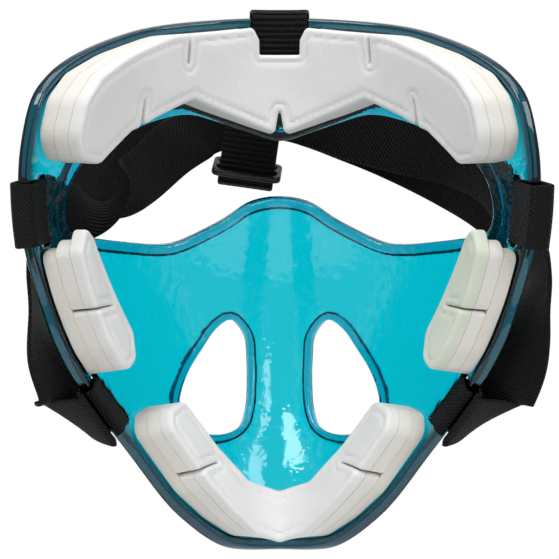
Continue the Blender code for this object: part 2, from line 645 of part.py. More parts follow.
def make_top_strap():
    """The strap from the brow, over the crossing, down behind it and up again in front."""
    snug = LIP + LOOP_GAP + STRAP_THICK / 2
    fold = (REAR_RUN - FRONT_RUN) / 2
    middle = (REAR_RUN + FRONT_RUN) / 2
    turn = REAR_RUN - 5.0 * MM
    path = [(turn - 5.5 * MM, LOOP_TOP - 0.6 * MM), (turn - 2.0 * MM, LOOP_TOP)]
    path += [(turn + 5.0 * MM * sin(a), LOOP_TOP - 5.0 * MM * (1 - cos(a)))
             for a in np.radians((0, 30, 60, 90))]
    path += [(REAR_RUN, 3.0 * MM), (REAR_RUN, -12.0 * MM), (REAR_RUN, -SLIDER_DROP)]
    path += [(middle + fold * cos(a), -LOOP_FLOOR - fold * sin(a))
             for a in np.radians(np.arange(0, 181, 30))]
    path += [(FRONT_RUN, -SLIDER_DROP), (FRONT_RUN, -12.0 * MM), (FRONT_RUN, 0.0),
             (FRONT_RUN, LOOP_END)]
    centre = np.array([np.array(HUB) + HUB_OUT * y + HUB_UP * z for y, z in path])
    edges = np.stack([centre - HUB_ACROSS * STRAP_WIDTH / 2, centre + HUB_ACROSS * STRAP_WIDTH / 2],
                     axis=1)
    sheet("top_strap_loop", edges)
    start = centre[0]
    before = start - (centre[1] - centre[0]) / np.linalg.norm(centre[1] - centre[0]) * GAP
    stations = [slot_station(TOP_SLOT, 1, v * MM, snug + rise * MM)
                for v, rise in ((1.6, 0.1), (-5.0, 0.5), (-10.0, 0.8))]
    stations += [(MM * np.array((-2.0, 90.0, 90.5)), (0.995, 0.0, -0.08)), (before, HUB_ACROSS)]
    sheet("top_strap", cut_short(route(stations, 4 * MM), GAP, 0.0))


def box_mesh(size, frame):
    """A box of a size, turned and placed by a matrix."""
    bm = bmesh.new()
    bmesh.ops.create_cube(bm, size=1.0, matrix=frame @ Matrix.Diagonal((*size, 1.0)))
    mesh = bpy.data.meshes.new("box")
    bm.to_mesh(mesh)
    bm.free()
    return mesh


def make_slider():
    """The three-bar slider, tilted on the doubled strap, a window round each of its runs."""
    place = np.array(HUB) + HUB_OUT * (FRONT_RUN + REAR_RUN) / 2 - HUB_UP * SLIDER_DROP
    frame = Matrix([(*axis, where) for axis, where in zip(
        np.stack([HUB_ACROSS, HUB_OUT, HUB_UP], axis=1), place)] + [(0, 0, 0, 1)])
    tilted = Matrix.Rotation(SLIDER_TILT, 4, "X")
    made = add("top_slider", box_mesh(SLIDER_SIZE, Matrix.Identity(4)), "slider")
    made.matrix_world = frame @ tilted
    bpy.context.view_layer.update()
    round_off = made.modifiers.new("corners", "BEVEL")
    round_off.width = 0.9 * MM
    round_off.segments = 2
    round_off.limit_method = "ANGLE"
    window = Vector((STRAP_WIDTH + 1.2 * MM, STRAP_THICK + 0.9 * MM, 30 * MM))
    for number, run in enumerate((FRONT_RUN, REAR_RUN)):
        shift = Matrix.Translation((0, run - (FRONT_RUN + REAR_RUN) / 2, 0))
        cutter = add(f"window_{number}", box_mesh(window, Matrix.Identity(4)), "face", CUTTERS)
        cutter.matrix_world = frame @ shift
        cut = made.modifiers.new(f"window_{number}", "BOOLEAN")
        cut.operation = "DIFFERENCE"
        cut.solver = "EXACT"
        cut.object = cutter


# ------------------------------------------------------------- assembly ----
make_shell()
make_pads()
for SIDE, WORD, SLACK in ((-1, "left", 0.0), (1, "right", 4.0 * MM)):
    anchor_loop(f"upper_loop_{WORD}", UPPER_SLOT, SIDE, loop_path(UPPER_BAR, SLACK))
    anchor_loop(f"lower_loop_{WORD}", LOWER_SLOT, SIDE, drop_path(LOWER_BAR))
anchor_loop("top_loop", TOP_SLOT, 1, loop_path(TOP_BAR, 0.0))
make_upper_straps()
make_lower_straps()
make_top_strap()
make_slider()

# the wearer's brow meets the middle of the brow pad: that spot is the origin of the object
BROW_REST = Vector(wrap(0.0, BROW_REST_HEIGHT, -3 * (LAYER + PAD_GAP), level=PAD_LEVEL))
HARNESS_AXIS = Vector(place_on_slot(UPPER_SLOT, 1, 0.0, WALL, 0.0))
HARNESS_AXIS.x = 0.0
HARNESS = ("upper_strap_left", "upper_strap_right", "lower_strap_left", "lower_strap_right",
           "top_strap", "top_strap_loop")
for ITEM in list(PARTS.objects) + list(CUTTERS.objects):
    ITEM.matrix_world = Matrix.Translation(-BROW_REST) @ ITEM.matrix_world
bpy.context.view_layer.update()
for ITEM in PARTS.objects:
    centre = HARNESS_AXIS - BROW_REST if ITEM.name in HARNESS else Vector()
    if ITEM.name != "top_slider":
        ITEM.data.transform(Matrix.Translation(-centre) @ ITEM.matrix_world)
        ITEM.matrix_world = Matrix.Translation(centre)
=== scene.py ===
"""Looks for the short-corner face mask: clear shell, foam pads, webbing harness and slider.

The shell and the pads are flat patterns, u round the face and z up it, laid on one wall
surface; t is the distance outwards from the shell's inner face.  The webbing is swept along
its route.  Every piece is made with numpy arrays, in metres, in the frame of the CAD model.
"""
from math import cos, pi, radians, sin

import bmesh
import bpy
import numpy as np
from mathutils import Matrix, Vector
from mathutils.geometry import delaunay_2d_cdt


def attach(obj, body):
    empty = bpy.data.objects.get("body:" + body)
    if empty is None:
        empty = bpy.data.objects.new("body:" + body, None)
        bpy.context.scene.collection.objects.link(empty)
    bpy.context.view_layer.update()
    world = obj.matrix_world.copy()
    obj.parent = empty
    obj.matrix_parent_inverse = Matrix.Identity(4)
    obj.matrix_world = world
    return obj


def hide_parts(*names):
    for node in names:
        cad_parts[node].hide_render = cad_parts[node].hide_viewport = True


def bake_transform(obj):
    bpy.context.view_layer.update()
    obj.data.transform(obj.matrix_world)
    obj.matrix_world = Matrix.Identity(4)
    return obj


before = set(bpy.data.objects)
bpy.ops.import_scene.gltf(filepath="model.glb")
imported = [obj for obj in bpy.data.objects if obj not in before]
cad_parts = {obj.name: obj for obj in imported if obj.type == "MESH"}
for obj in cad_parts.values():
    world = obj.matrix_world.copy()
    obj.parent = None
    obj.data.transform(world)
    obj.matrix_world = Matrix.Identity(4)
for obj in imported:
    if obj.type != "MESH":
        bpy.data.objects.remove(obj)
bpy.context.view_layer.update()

MM = 0.001
ORIGIN = MM * np.array([0.0, 58.895, 80.219])   # the brow rest, in the pattern's own frame

# ---- the wall surface: height, depth of the front line, half width ----
STATIONS = MM * np.array([
    (-120.0, 76.0, 33.0), (-100.0, 83.0, 50.5), (-75.0, 90.5, 69.5), (-50.0, 97.0, 84.0),
    (-25.0, 101.0, 94.5), (0.0, 99.0, 101.0), (25.0, 91.0, 104.0), (50.0, 84.0, 102.0),
    (75.0, 79.0, 97.0), (100.0, 72.5, 92.0), (120.0, 66.0, 90.0),
])
CENTRE_Y = -35.0 * MM
WRAP_RADIUS = 100.0 * MM
RIDGE_RISE = 6.0 * MM
RIDGE_TOP = 40.0 * MM
RIDGE_FOOT = -88.0 * MM
RIDGE_HALF_TOP = 8.0 * MM
RIDGE_HALF_FOOT = 13.0 * MM
PAD_LEVEL = 0.4
PAD_TURN = -86.0 * MM

# ---- shell ----
WALL = 3.0 * MM
LIP = 5.0 * MM
RIM = MM * np.array([
    (0, 111.2), (28, 109.3), (54, 104.3), (76, 96), (94, 87), (106, 78.5), (114, 68.5), (116, 52),
    (114.5, 36), (109.5, 13), (102.5, -7), (95.5, -26.5), (82.5, -46.5), (67, -66), (50, -88.5),
    (36, -101), (21.5, -110.8), (10, -115), (0, -116),
])
EYES = MM * np.array([
    (0, 60), (11, 63.5), (22, 67.3), (34, 70.3), (46, 67.8), (60, 61.5), (77, 51), (85.5, 40),
    (88, 28.5), (85.5, 20.5), (78, 17.8), (68, 16.8), (55, 15.6), (43, 14.8), (34.5, 16.3),
    (21, 24.6), (10.6, 32.8), (0, 35.8),
])
HOLE = MM * np.array([
    (15.5, -18), (21, -22), (26, -30.5), (32, -41), (36, -51.5), (36, -59), (30.5, -65.3),
    (20.5, -67.5), (13.2, -64.5), (10.4, -57), (9.6, -47), (9.6, -36), (10.5, -25),
])

RIM_LIP = (3.7, 0.9)            # in mm: how far in a lip goes, and the width of its drop
EYES_LIP = (4.2, 1.1)
HOLE_LIP = (2.9, 0.8)
JAW_BAR = MM * np.array((77.0, -51.0))          # where the rim lip is narrowest, each side
JAW_LIP = 0.68                  # share of the lip's insets that is left there
JAW_REACH = (16.0 * MM, 30.0 * MM)              # distances from there over which it widens
RIM_REACH = 5.5 * MM            # distance in from the rim at which its painted shade and calmed bump are at 1/e
SHELL_GRID = 2.6 * MM           # spacings of the points on the faces
FACE_GRID = 1.25 * MM
LAYER_GRID = 2.6 * MM

# ---- slots and webbing ----
RIB_PITCH = 2.4 * MM
RIB_HEIGHT = 0.28 * MM
STRAP_WIDTH = 25.0 * MM
STRAP_THICK = 1.6 * MM
GAP = 0.35 * MM
LOOP_GAP = 0.65 * MM
SLOT_LENGTH = STRAP_WIDTH + 3.4 * MM
SLOT_WIDTH = 4.7 * MM
LOOP_TAIL = 7.0 * MM
DROP_REACH = 1.9 * MM
UPPER_SLOT = (102.6 * MM, 27.0 * MM, 78.0)
UPPER_BAR = 8.1 * MM
LOWER_SLOT = (73.3 * MM, -48.2 * MM, 51.5)
LOWER_BAR = 5.4 * MM
TOP_SLOT = (0.0, 95.0 * MM, 0.0)
TOP_BAR = 14.8 * MM

# ---- foam pads ----
LAYER = 5.5 * MM
PAD_GAP = 0.7 * MM
CHIN_GAP = 0.9 * MM
GLUE_FILM = 0.22 * MM
NOTCH_HALF = 10.0
NOTCH_HALF_BASE = 13.4
NOTCH_FLOOR = 95.8
NOTCH_FLOOR_BASE = 92.0
BROW_PAD = [
    (0.5, 72, 0.4), (2.2, 62.7, 2), (18.7, 68.7, 10), (41.4, 76.1, 3), (59.3, 68, 20),
    "low slit", (74, 61, 8), (92, 46.5, 5), (105.5, 47.3, 7), (112.3, 56, 10), (110.5, 70, 10),
    (101, 80.5, 12), (82, 90.5, 30), (56, 101, 40), "high slit", (14, 106.8, 3),
]
BROW_SLITS = {
    "low slit": [(67.9, 63.4, 1.9), (68.3, 74, 0.15), (68.7, 74, 0.15), (69.1, 62.9, 1.9)],
    "high slit": [(46.6, 102.35, 1.9), (46.2, 90.5, 0.15), (45.8, 90.5, 0.15), (45.4, 102.55, 1.9)],
}
CHEEK_PAD = [
    (105.5, 10, 5), (100, -8, 60), "slit", (91.5, -29, 20), (84, -39.5, 5), (74.5, -35, 7),
    (72.5, -23, 9), (84, -1.5, 60),
]
CHEEK_SLIT = [(97.75, -12.7, 1.8), (84.6, -11.4, 0.1), (84.6, -11.7, 0.1), (97.5, -13.4, 1.8)]
CHEEK_TOPS = {"base": [(89.5, 9.5, 6), (98, 12.6, 3)], "core": [(92, 13.5, 6), (100, 16.5, 5)],
              "face": [(94, 17, 8), (100, 21, 7)]}
CHIN_PAD = [
    (0, -92.4, 3), (22, -88, 10), (36, -73, 12), (50, -53, 4), (61, -56, 5), (65, -63.5, 6),
    "slit", (48.5, -87.5, 18), (35, -99, 20), (20.5, -108.6, 12), (0, -113.2, 20),
]
CHIN_SLIT = [(53.1, -81.2, 1.8), (39.1, -79.4, 0.1), (39.0, -79.75, 0.1), (52.6, -81.9, 1.8)]

# ---- harness ----
HUB = MM * np.array([-11.0, 107.0, 76.0])
HUB_TILT = radians(8.0)
HUB_ACROSS = np.array((cos(HUB_TILT), 0.0, -sin(HUB_TILT)))
HUB_UP = np.array((sin(HUB_TILT), 0.0, cos(HUB_TILT)))
HUB_OUT = np.array((0.0, 1.0, 0.0))
LAYER_STEP = STRAP_THICK + GAP
FRONT_RUN = -LAYER_STEP
REAR_RUN = 2 * LAYER_STEP
UPPER_ROUTE = [
    (-91, 45, 27.2, -0.8, 0.6, 0), (-84, 57, 28.5, -0.75, 0.65, 0),
    (-73, 71, 34.5, -0.65, 0.75, 0.1), (-60, 84.5, 45, -0.5, 0.85, 0.1),
    (-47.5, 96.5, 58, -0.3, 0.95, 0.1), (-38.5, 104.5, 65, -0.05, 1, 0),
    (-32, 107, 69.3, 0, 1, 0), (-11, 107, 76, 0, 1, 0), (4, 107, 75.2, 0, 1, 0),
    (17, 105.4, 71.5, 0.12, 1, 0), (32, 101.3, 66, 0.25, 1, 0), (53.5, 94, 59.5, 0.35, 0.9, 0),
    (73, 80, 53.5, 0.6, 0.8, 0.1), (86, 60, 45, 0.75, 0.65, 0.1), (92, 44, 35.5, 0.85, 0.55, 0),
]
LOWER_ROUTE = [
    (-89, 36, -44, -0.75, 0.6, -0.2), (-94, 32, -30, -0.9, 0.4, -0.1),
    (-97, 33, -14, -1, 0.1, 0), (-98.5, 38, -2, -1, 0.15, 0), (-98, 44, 8, -0.97, 0.25, 0),
    (-95, 54, 20, -0.92, 0.4, 0), (-88.5, 66.5, 32, -0.82, 0.57, 0),
    (-78.5, 79, 43, -0.7, 0.7, 0), (-66, 92, 52, -0.5, 0.85, 0.1),
    (-52, 102.5, 60.5, -0.3, 0.95, 0.1), (-41, 108.3, 66, -0.05, 1, 0),
    (-31, 109, 70.8, 0, 1, 0), (-11, 108.95, 76, 0, 1, 0), (4, 108.95, 75.2, 0, 1, 0),
    (17, 108.2, 71.5, 0.1, 1, 0), (32, 105.4, 65.5, 0.2, 1, 0), (45, 102, 60, 0.25, 0.97, 0),
    (60, 96, 52.5, 0.35, 0.92, 0), (75, 86, 43.5, 0.5, 0.85, 0), (88, 71, 33.5, 0.65, 0.75, 0),
    (99, 56, 21, 0.85, 0.5, 0), (104, 42, 8, 0.95, 0.25, 0), (103.5, 36, -2, 1, 0.15, 0),
    (100.5, 33, -14, 1, 0.1, 0), (97, 33, -32, 0.9, 0.35, -0.1), (92, 36, -45, 0.75, 0.6, -0.2),
]
FOLD = (-87.5, 41, -55.5, -0.7, -0.4, 0.5)
LEAN = radians(-28.0)           # how far the lower right strap leans to show its face
LEAN_IN = (0.62, 0.78)          # shares of its length over which the lean comes
LEAN_OUT = (0.96, 0.85)         # and, read backwards, goes
TWIST_SINK = 4.2 * MM           # how far in the half twist of the upper left strap sits
TWIST_SPAN = (0.22, 0.52)       # shares of its length over which it turns
TOP_FREE = (-2.0, 90.0, 90.5, 0.995, 0.0, -0.08)
SLIDER_TILT = radians(28.0)
SLIDER_DROP = 26.5 * MM
LOOP_FLOOR = 31.0 * MM
LOOP_TOP = 18.8 * MM
LOOP_END = 10.5 * MM

# ---- stage ----
FLOOR_RADIUS = 0.55
FLOOR_LEVEL = -0.36
CAMERA_AWAY = 0.55
VIEW_WIDTH = 211.861 * MM       # width of the view in the camera's reference plane


# -------------------------------------------------------- wall surface ----
def natural_spline(x, xs, ys):
    """The cubic through (xs, ys) whose second slope is zero at both ends, read at x."""
    n = len(xs)
    h = np.diff(xs)
    system = np.eye(n)
    inner = np.arange(1, n - 1)
    system[inner, inner - 1] = h[:-1]
    system[inner, inner] = 2 * (h[:-1] + h[1:])
    system[inner, inner + 1] = h[1:]
    slope = np.diff(ys) / h
    bend = np.linalg.solve(system, np.concatenate([[0], 6 * np.diff(slope), [0]]))
    k = np.clip(np.searchsorted(xs, x) - 1, 0, n - 2)
    p = (xs[k + 1] - x) / h[k]
    q = (x - xs[k]) / h[k]
    sag = ((p ** 3 - p) * bend[k] + (q ** 3 - q) * bend[k + 1]) * h[k] ** 2 / 6
    return p * ys[k] + q * ys[k + 1] + sag


def ramp(x, start, end):
    """3s^2 - 2s^3 of the share s of the way from start to end."""
    s = np.clip((x - start) / (end - start), 0.0, 1.0)
    return s * s * (3 - 2 * s)


def ridge(u, z):
    """The nose ridge: exp(-(u / half)^2) across, half growing downwards, ramped off at the ends."""
    down = np.clip((RIDGE_TOP - z) / (RIDGE_TOP - RIDGE_FOOT), 0.0, 1.0)
    half = RIDGE_HALF_TOP + (RIDGE_HALF_FOOT - RIDGE_HALF_TOP) * down
    rise = RIDGE_RISE * ramp(z, RIDGE_FOOT, RIDGE_FOOT + 35 * MM)
    rise = rise * ramp(z, RIDGE_TOP + 22 * MM, RIDGE_TOP - 8 * MM)
    return rise * np.exp(-(u / half) ** 2)


def wall_point(u, z, nose):
    """At each height an ellipse round the upright axis, from half width to front depth."""
    turn = u / WRAP_RADIUS
    wide = natural_spline(z, STATIONS[:, 0], STATIONS[:, 2])
    deep = natural_spline(z, STATIONS[:, 0], STATIONS[:, 1]) - CENTRE_Y
    radius = 1 / np.sqrt((np.sin(turn) / wide) ** 2 + (np.cos(turn) / deep) ** 2)
    radius = radius + (ridge(u, z) if nose else 0.0)
    return np.stack([radius * np.sin(turn), CENTRE_Y + radius * np.cos(turn), z + 0 * u], axis=-1)


def wrap(u, z, t, nose=False, level=1.0):
    """The wall point plus t along the wall's normal, the normal's climb scaled by level."""
    u, z, t = np.broadcast_arrays(*(np.asarray(v, float) for v in (u, z, t)))
    step = 0.5 * MM
    read = np.maximum(z, PAD_TURN) if level < 1 else z
    along_u = wall_point(u + step, read, nose) - wall_point(u - step, read, nose)
    along_z = wall_point(u, read + step, nose) - wall_point(u, read - step, nose)
    normal = np.cross(along_z, along_u)
    normal[..., 2] *= level
    normal /= np.linalg.norm(normal, axis=-1, keepdims=True)
    return wall_point(u, z, nose) + normal * t[..., None] - ORIGIN


def stretch(u, z):
    """The wall's length over the pattern's, along u and along z."""
    step = 0.5 * MM
    along_u = wall_point(u + step, z, False) - wall_point(u - step, z, False)
    along_z = wall_point(u, z + step, False) - wall_point(u, z - step, False)
    sizes = [np.linalg.norm(v, axis=-1) / (2 * step) for v in (along_u, along_z)]
    return np.stack(sizes, axis=-1)


# ------------------------------------------------------------ outlines ----
def catmull(points, spacing, closed):
    """The Catmull-Rom curve through rows of numbers, its first three being a place."""
    points = np.asarray(points, float)
    if closed:
        data = np.concatenate([points[-1:], points, points[:2]])
    else:
        data = np.concatenate([[2 * points[0] - points[1]], points, [2 * points[-1] - points[-2]]])
    a, b, c, d = data[:-3], data[1:-2], data[2:-1], data[3:]
    counts = np.maximum(2, np.round(np.linalg.norm((c - b)[:, :3], axis=1) / spacing).astype(int))
    which = np.repeat(np.arange(len(b)), counts)
    first = np.repeat(np.cumsum(counts) - counts, counts)
    s = ((np.arange(counts.sum()) - first) / counts[which])[:, None]
    a, b, c, d = a[which], b[which], c[which], d[which]
    rows = 0.5 * (2 * b + (c - a) * s + (2 * a - 5 * b + 4 * c - d) * s ** 2
                  + (3 * b - a - 3 * c + d) * s ** 3)
    return rows if closed else np.concatenate([rows, points[-1:]])


def mirrored(half):
    """A closed outline from its right half, whose two ends lie on u = 0."""
    return np.concatenate([half, (half * (-1, 1))[-2:0:-1]])


def rounded(corners, finest=8.0):
    """Straight runs between corners (u, z, radius in mm), each corner an arc of its radius."""
    spots = MM * np.array([(c[0], c[1]) for c in corners])
    n = len(spots)
    out = []
    for i in range(n):
        here = spots[i]
        back = spots[i - 1] - here
        on = spots[(i + 1) % n] - here
        lengths = np.linalg.norm(back), np.linalg.norm(on)
        back, on = back / lengths[0], on / lengths[1]
        half = np.arccos(np.clip(back @ on, -1, 1)) / 2
        reach = min(corners[i][2] * MM / np.tan(half), 0.48 * min(lengths))
        radius = reach * np.tan(half)
        middle = here + (back + on) / np.linalg.norm(back + on) * radius / np.sin(half)
        steps = max(1, int(np.ceil((pi - 2 * half) / radians(finest))))
        first, last = here + back * reach - middle, here + on * reach - middle
        sweep = np.arctan2(first[0] * last[1] - first[1] * last[0], first @ last)
        turn = sweep * np.arange(steps + 1) / steps
        out.append(middle + np.stack([np.cos(turn) * first[0] - np.sin(turn) * first[1],
                                      np.sin(turn) * first[0] + np.cos(turn) * first[1]], axis=1))
    return np.concatenate(out)


def evened(outline, spacing):
    """The outline with each side cut into equal runs no longer than spacing."""
    onward = np.roll(outline, -1, axis=0) - outline
    counts = np.maximum(1, np.ceil(np.linalg.norm(onward, axis=1) / spacing).astype(int))
    which = np.repeat(np.arange(len(outline)), counts)
    first = np.repeat(np.cumsum(counts) - counts, counts)
    share = (np.arange(counts.sum()) - first) / counts[which]
    return outline[which] + onward[which] * share[:, None]


def signed_area(outline):
    """Half the sum of the cross products of neighbouring corners."""
    after = np.roll(outline, -1, axis=0)
    return 0.5 * np.sum(outline[:, 0] * after[:, 1] - outline[:, 1] * after[:, 0])


def moved_in(outline, width, size=1.0):
    """The outline moved by width towards its own inside, size being the wall's stretch."""
    onward = (np.roll(outline, -1, axis=0) - np.roll(outline, 1, axis=0)) * size
    onward /= np.linalg.norm(onward, axis=1, keepdims=True)
    side = np.stack([-onward[:, 1], onward[:, 0]], axis=1) * np.sign(signed_area(outline))
    return outline + side * width / size


def edge_distance(points, outlines):
    """The distance of each point from the nearest side of the outlines, on the pattern."""
    best = np.full(len(points), 1.0)
    for outline in outlines:
        after = np.roll(outline, -1, axis=0)
        for part in range(0, len(points), 2000):
            p = points[part:part + 2000, None, :]
            way = after - outline
            share = np.clip(((p - outline) * way).sum(-1) / (way ** 2).sum(-1), 0, 1)
            gap = np.linalg.norm(p - outline - share[..., None] * way, axis=-1).min(axis=1)
            best[part:part + 2000] = np.minimum(best[part:part + 2000], gap)
    return best


def inside(points, outlines):
    """Whether a level ray from each point crosses the outlines an odd number of times."""
    odd = np.zeros(len(points), bool)
    for outline in outlines:
        after = np.roll(outline, -1, axis=0)
        x, y = points[:, :1], points[:, 1:]
        spans = (outline[:, 1] > y) != (after[:, 1] > y)
        rise = np.where(after[:, 1] == outline[:, 1], 1e-12, after[:, 1] - outline[:, 1])
        at = outline[:, 0] + (y - outline[:, 1]) * (after[:, 0] - outline[:, 0]) / rise
        odd ^= (np.sum(spans & (x < at), axis=1) % 2).astype(bool)
    return odd


# ---------------------------------------------------------------- mesh ----
def mesh_object(name, points, faces, material, uv=None):
    """A smooth object from points and faces, turned outwards; uv holds a place for each point."""
    mesh = bpy.data.meshes.new(name)
    mesh.from_pydata(points.tolist(), [], faces)
    if uv is not None:
        layer = mesh.uv_layers.new(name="weave")
        corner = np.empty(len(mesh.loops), np.int32)
        mesh.loops.foreach_get("vertex_index", corner)
        layer.data.foreach_set("uv", uv[corner].ravel())
    bm = bmesh.new()
    bm.from_mesh(mesh)
    bmesh.ops.recalc_face_normals(bm, faces=bm.faces)
    bm.to_mesh(mesh)
    bm.free()
    mesh.shade_smooth()
    mesh.materials.append(material)
    made = bpy.data.objects.new(name, mesh)
    bpy.context.scene.collection.objects.link(made)
    return made


def plate(name, outlines, edges, spacing, place, material, relief=None, size_of=None,
          narrowed=None):
    """A flat pattern with openings, both faces filled, and a moulded edge round every outline.

    edges gives for each outline its edge profile as rows (inset, t) from the low face to the
    high face.  The faces are one triangulation of the innermost rows and an even grid of points.
    relief(points, distance) is added to t on the low face.  narrowed(points) is a share that
    the first outline's insets are multiplied by.
    """
    loops, bands = [], []
    for number, (outline, edge) in enumerate(zip(outlines, edges)):
        size = size_of(outline[:, 0], outline[:, 1]) if size_of else 1.0
        sign = 1 if number == 0 else -1
        share = narrowed(outline)[:, None] if narrowed and number == 0 else 1.0
        rows = [moved_in(outline, sign * inset * share, size) for inset, _ in edge]
        loops.append(rows[0])
        bands.append((rows, edge))
    low = np.concatenate(loops)
    spans = np.stack([low.min(axis=0), low.max(axis=0)])
    u = np.arange(spans[0, 0], spans[1, 0], spacing)
    z = np.arange(spans[0, 1], spans[1, 1], spacing * 0.87)
    grid_u, grid_z = np.meshgrid(u, z)
    grid_u = grid_u + (np.arange(len(z)) % 2)[:, None] * spacing / 2
    grid = np.stack([grid_u.ravel(), grid_z.ravel()], axis=1)
    grid = grid[inside(grid, loops)]
    grid = grid[edge_distance(grid, loops) > 0.55 * spacing]
    flat = np.concatenate([low, grid])
    starts = np.cumsum([0] + [len(loop) for loop in loops])
    sides = [np.stack([a + np.arange(b - a), a + (np.arange(b - a) + 1) % (b - a)], axis=1)
             for a, b in zip(starts, starts[1:])]
    filled = delaunay_2d_cdt([Vector(p) for p in flat.tolist()],
                             np.concatenate(sides).tolist(), [], 0, 1e-9)
    spots = np.array([tuple(v) for v in filled[0]])
    if len(spots) != len(flat):
        raise ValueError(f"{name}: its outlines cross each other")
    triangles = np.array([f for f in filled[2] if len(f) == 3])
    triangles = triangles[inside(flat[triangles].mean(axis=1), loops)]
    n = len(flat)
    distance = edge_distance(flat, outlines)
    lift = relief(flat, distance) if relief else 0.0
    t_low = np.full(n, edges[0][0][1])
    t_high = np.full(n, edges[0][-1][1])
    points = [place(flat[:, 0], flat[:, 1], t_low + lift), place(flat[:, 0], flat[:, 1], t_high)]
    pattern = [flat, flat]
    faces = [triangles, triangles + n]
    quads = []
    used = 2 * n
    for (rows, edge), start, loop in zip(bands, starts, loops):
        m = len(loop)
        ring = np.arange(m)
        before = start + ring
        for (inset, t), row in list(zip(edge, rows))[1:-1]:
            dip = 0.0
            if relief and t < (edge[0][1] + edge[-1][1]) / 2:
                dip = relief(row, np.full(m, inset))
            points.append(place(row[:, 0], row[:, 1], t + dip + 0 * row[:, 0]))
            pattern.append(row)
            here = used + ring
            quads.append(np.stack([before, np.roll(before, -1), np.roll(here, -1), here], axis=1))
            before = here
            used += m
        here = n + start + ring
        quads.append(np.stack([before, np.roll(before, -1), np.roll(here, -1), here], axis=1))
    every = np.concatenate(faces).tolist() + np.concatenate(quads).tolist()
    made = mesh_object(name, np.concatenate(points), every, material)
    if narrowed:
        # the rim attribute: nearness to the first outline; the shell's material paints shade by it
        # near the rim and calms its bump there
        near = np.exp(-(edge_distance(np.concatenate(pattern), outlines[:1]) / RIM_REACH) ** 2)
        layer = made.data.attributes.new("rim", "FLOAT", "POINT")
        layer.data.foreach_set("value", near.astype(np.float32))
    else:
        made.data.set_sharp_from_angle(angle=radians(35))
    return made


def tube_mesh(name, grid, lengths, offsets, material):
    """A closed band from rings of points: sides between the rings and a face on each end.

    The map for the weave is (distance along, distance across), in millimetres.
    """
    rows, columns = grid.shape[:2]
    index = np.arange(rows * columns).reshape(rows, columns)
    after = np.roll(index, -1, axis=1)
    sides = np.stack([index[:-1], index[1:], after[1:], after[:-1]], axis=-1)
    faces = sides.reshape(-1, 4).tolist() + [index[0].tolist(), index[-1][::-1].tolist()]
    along = np.repeat(lengths / MM, columns)
    across = np.tile(offsets / MM, rows)
    places = np.stack([along, across], axis=1)
    return mesh_object(name, grid.reshape(-1, 3), faces, material, uv=places)


def webbing_section(width=STRAP_WIDTH, thick=STRAP_THICK, columns=26):
    """Round the webbing: flat faces, half-round selvedges a little thicker than the middle."""
    half = thick / 2
    a = np.linspace(-1, 1, columns) * (width / 2 - half)
    edge = 1 + 0.10 * np.exp(-((np.abs(a) - width / 2 + 1.6 * MM) / (0.9 * MM)) ** 2)
    turn = np.linspace(90, -90, 7)[1:-1] * pi / 180
    right = np.stack([width / 2 - half + half * np.cos(turn), half * np.sin(turn)], axis=1)
    top = np.stack([a, half * 0.92 * edge], axis=1)
    return np.concatenate([top, right, (top * (1, -1))[::-1], (right * (-1, 1))[::-1]])


def ribs(lengths, section, pitch, height):
    """Cross ribs: height times |cos| of the way along, faded out at the selvedges."""
    fade = 1 - ramp(np.abs(section[:, 0]), STRAP_WIDTH / 2 - 1.8 * MM, STRAP_WIDTH / 2 - 0.6 * MM)
    wave = np.abs(np.cos(pi * lengths / pitch)) ** 0.6 - 0.6
    return np.sign(section[:, 1]) * fade * height * wave[:, None]


def webbing(name, rows, material, pitch=None, height=0.0):
    """Webbing along rows (place, across): the section set square to the way and to across."""
    section = webbing_section()
    centre = rows[:, :3]
    way = np.gradient(centre, axis=0)
    lengths = np.concatenate([[0], np.cumsum(np.linalg.norm(np.diff(centre, axis=0), axis=1))])
    across = rows[:, 3:6]
    across = across / np.linalg.norm(across, axis=1, keepdims=True)
    normal = np.cross(way, across)
    normal /= np.linalg.norm(normal, axis=1, keepdims=True)
    b = np.broadcast_to(section[:, 1], (len(rows), len(section)))
    if pitch:
        b = b + ribs(lengths, section, pitch, height)
    grid = centre[:, None] + across[:, None] * section[None, :, :1] + normal[:, None] * b[..., None]
    return tube_mesh(name, grid - ORIGIN, lengths, section[:, 0], material)


# ------------------------------------------------------------- shading ----
def srgb(code):
    """The linear colour of a hex sRGB code."""
    c = np.array([int(code[i:i + 2], 16) for i in (0, 2, 4)]) / 255
    linear = np.where(c <= 0.04045, c / 12.92, ((c + 0.055) / 1.055) ** 2.4)
    return (*linear.tolist(), 1.0)


def node(tree, kind, settings=(), **sockets):
    """Adds a node, sets its properties and links or sets its inputs, given by name or number."""
    made = tree.nodes.new(kind)
    for key, value in dict(settings).items():
        setattr(made, key, value)
    for key, value in sockets.items():
        socket = made.inputs[int(key[1:]) if key[0] == "_" else key.replace("_", " ")]
        if isinstance(value, bpy.types.NodeSocket):
            tree.links.new(value, socket)
        else:
            socket.default_value = value
    return made


def new_material(name):
    """An empty material and its tree, with a Principled shader on the output."""
    made = bpy.data.materials.new(name)
    made.use_nodes = True
    tree = made.node_tree
    tree.nodes.clear()
    shader = tree.nodes.new("ShaderNodeBsdfPrincipled")
    output = tree.nodes.new("ShaderNodeOutputMaterial")
    tree.links.new(shader.outputs[0], output.inputs["Surface"])
    return made, tree, shader, output


def blended(tree, factor, first, second):
    """A colour between two, by a factor socket."""
    ramped = node(tree, "ShaderNodeValToRGB", Fac=factor)
    ramped.color_ramp.elements[0].color = first
    ramped.color_ramp.elements[1].color = second
    return ramped.outputs[0]


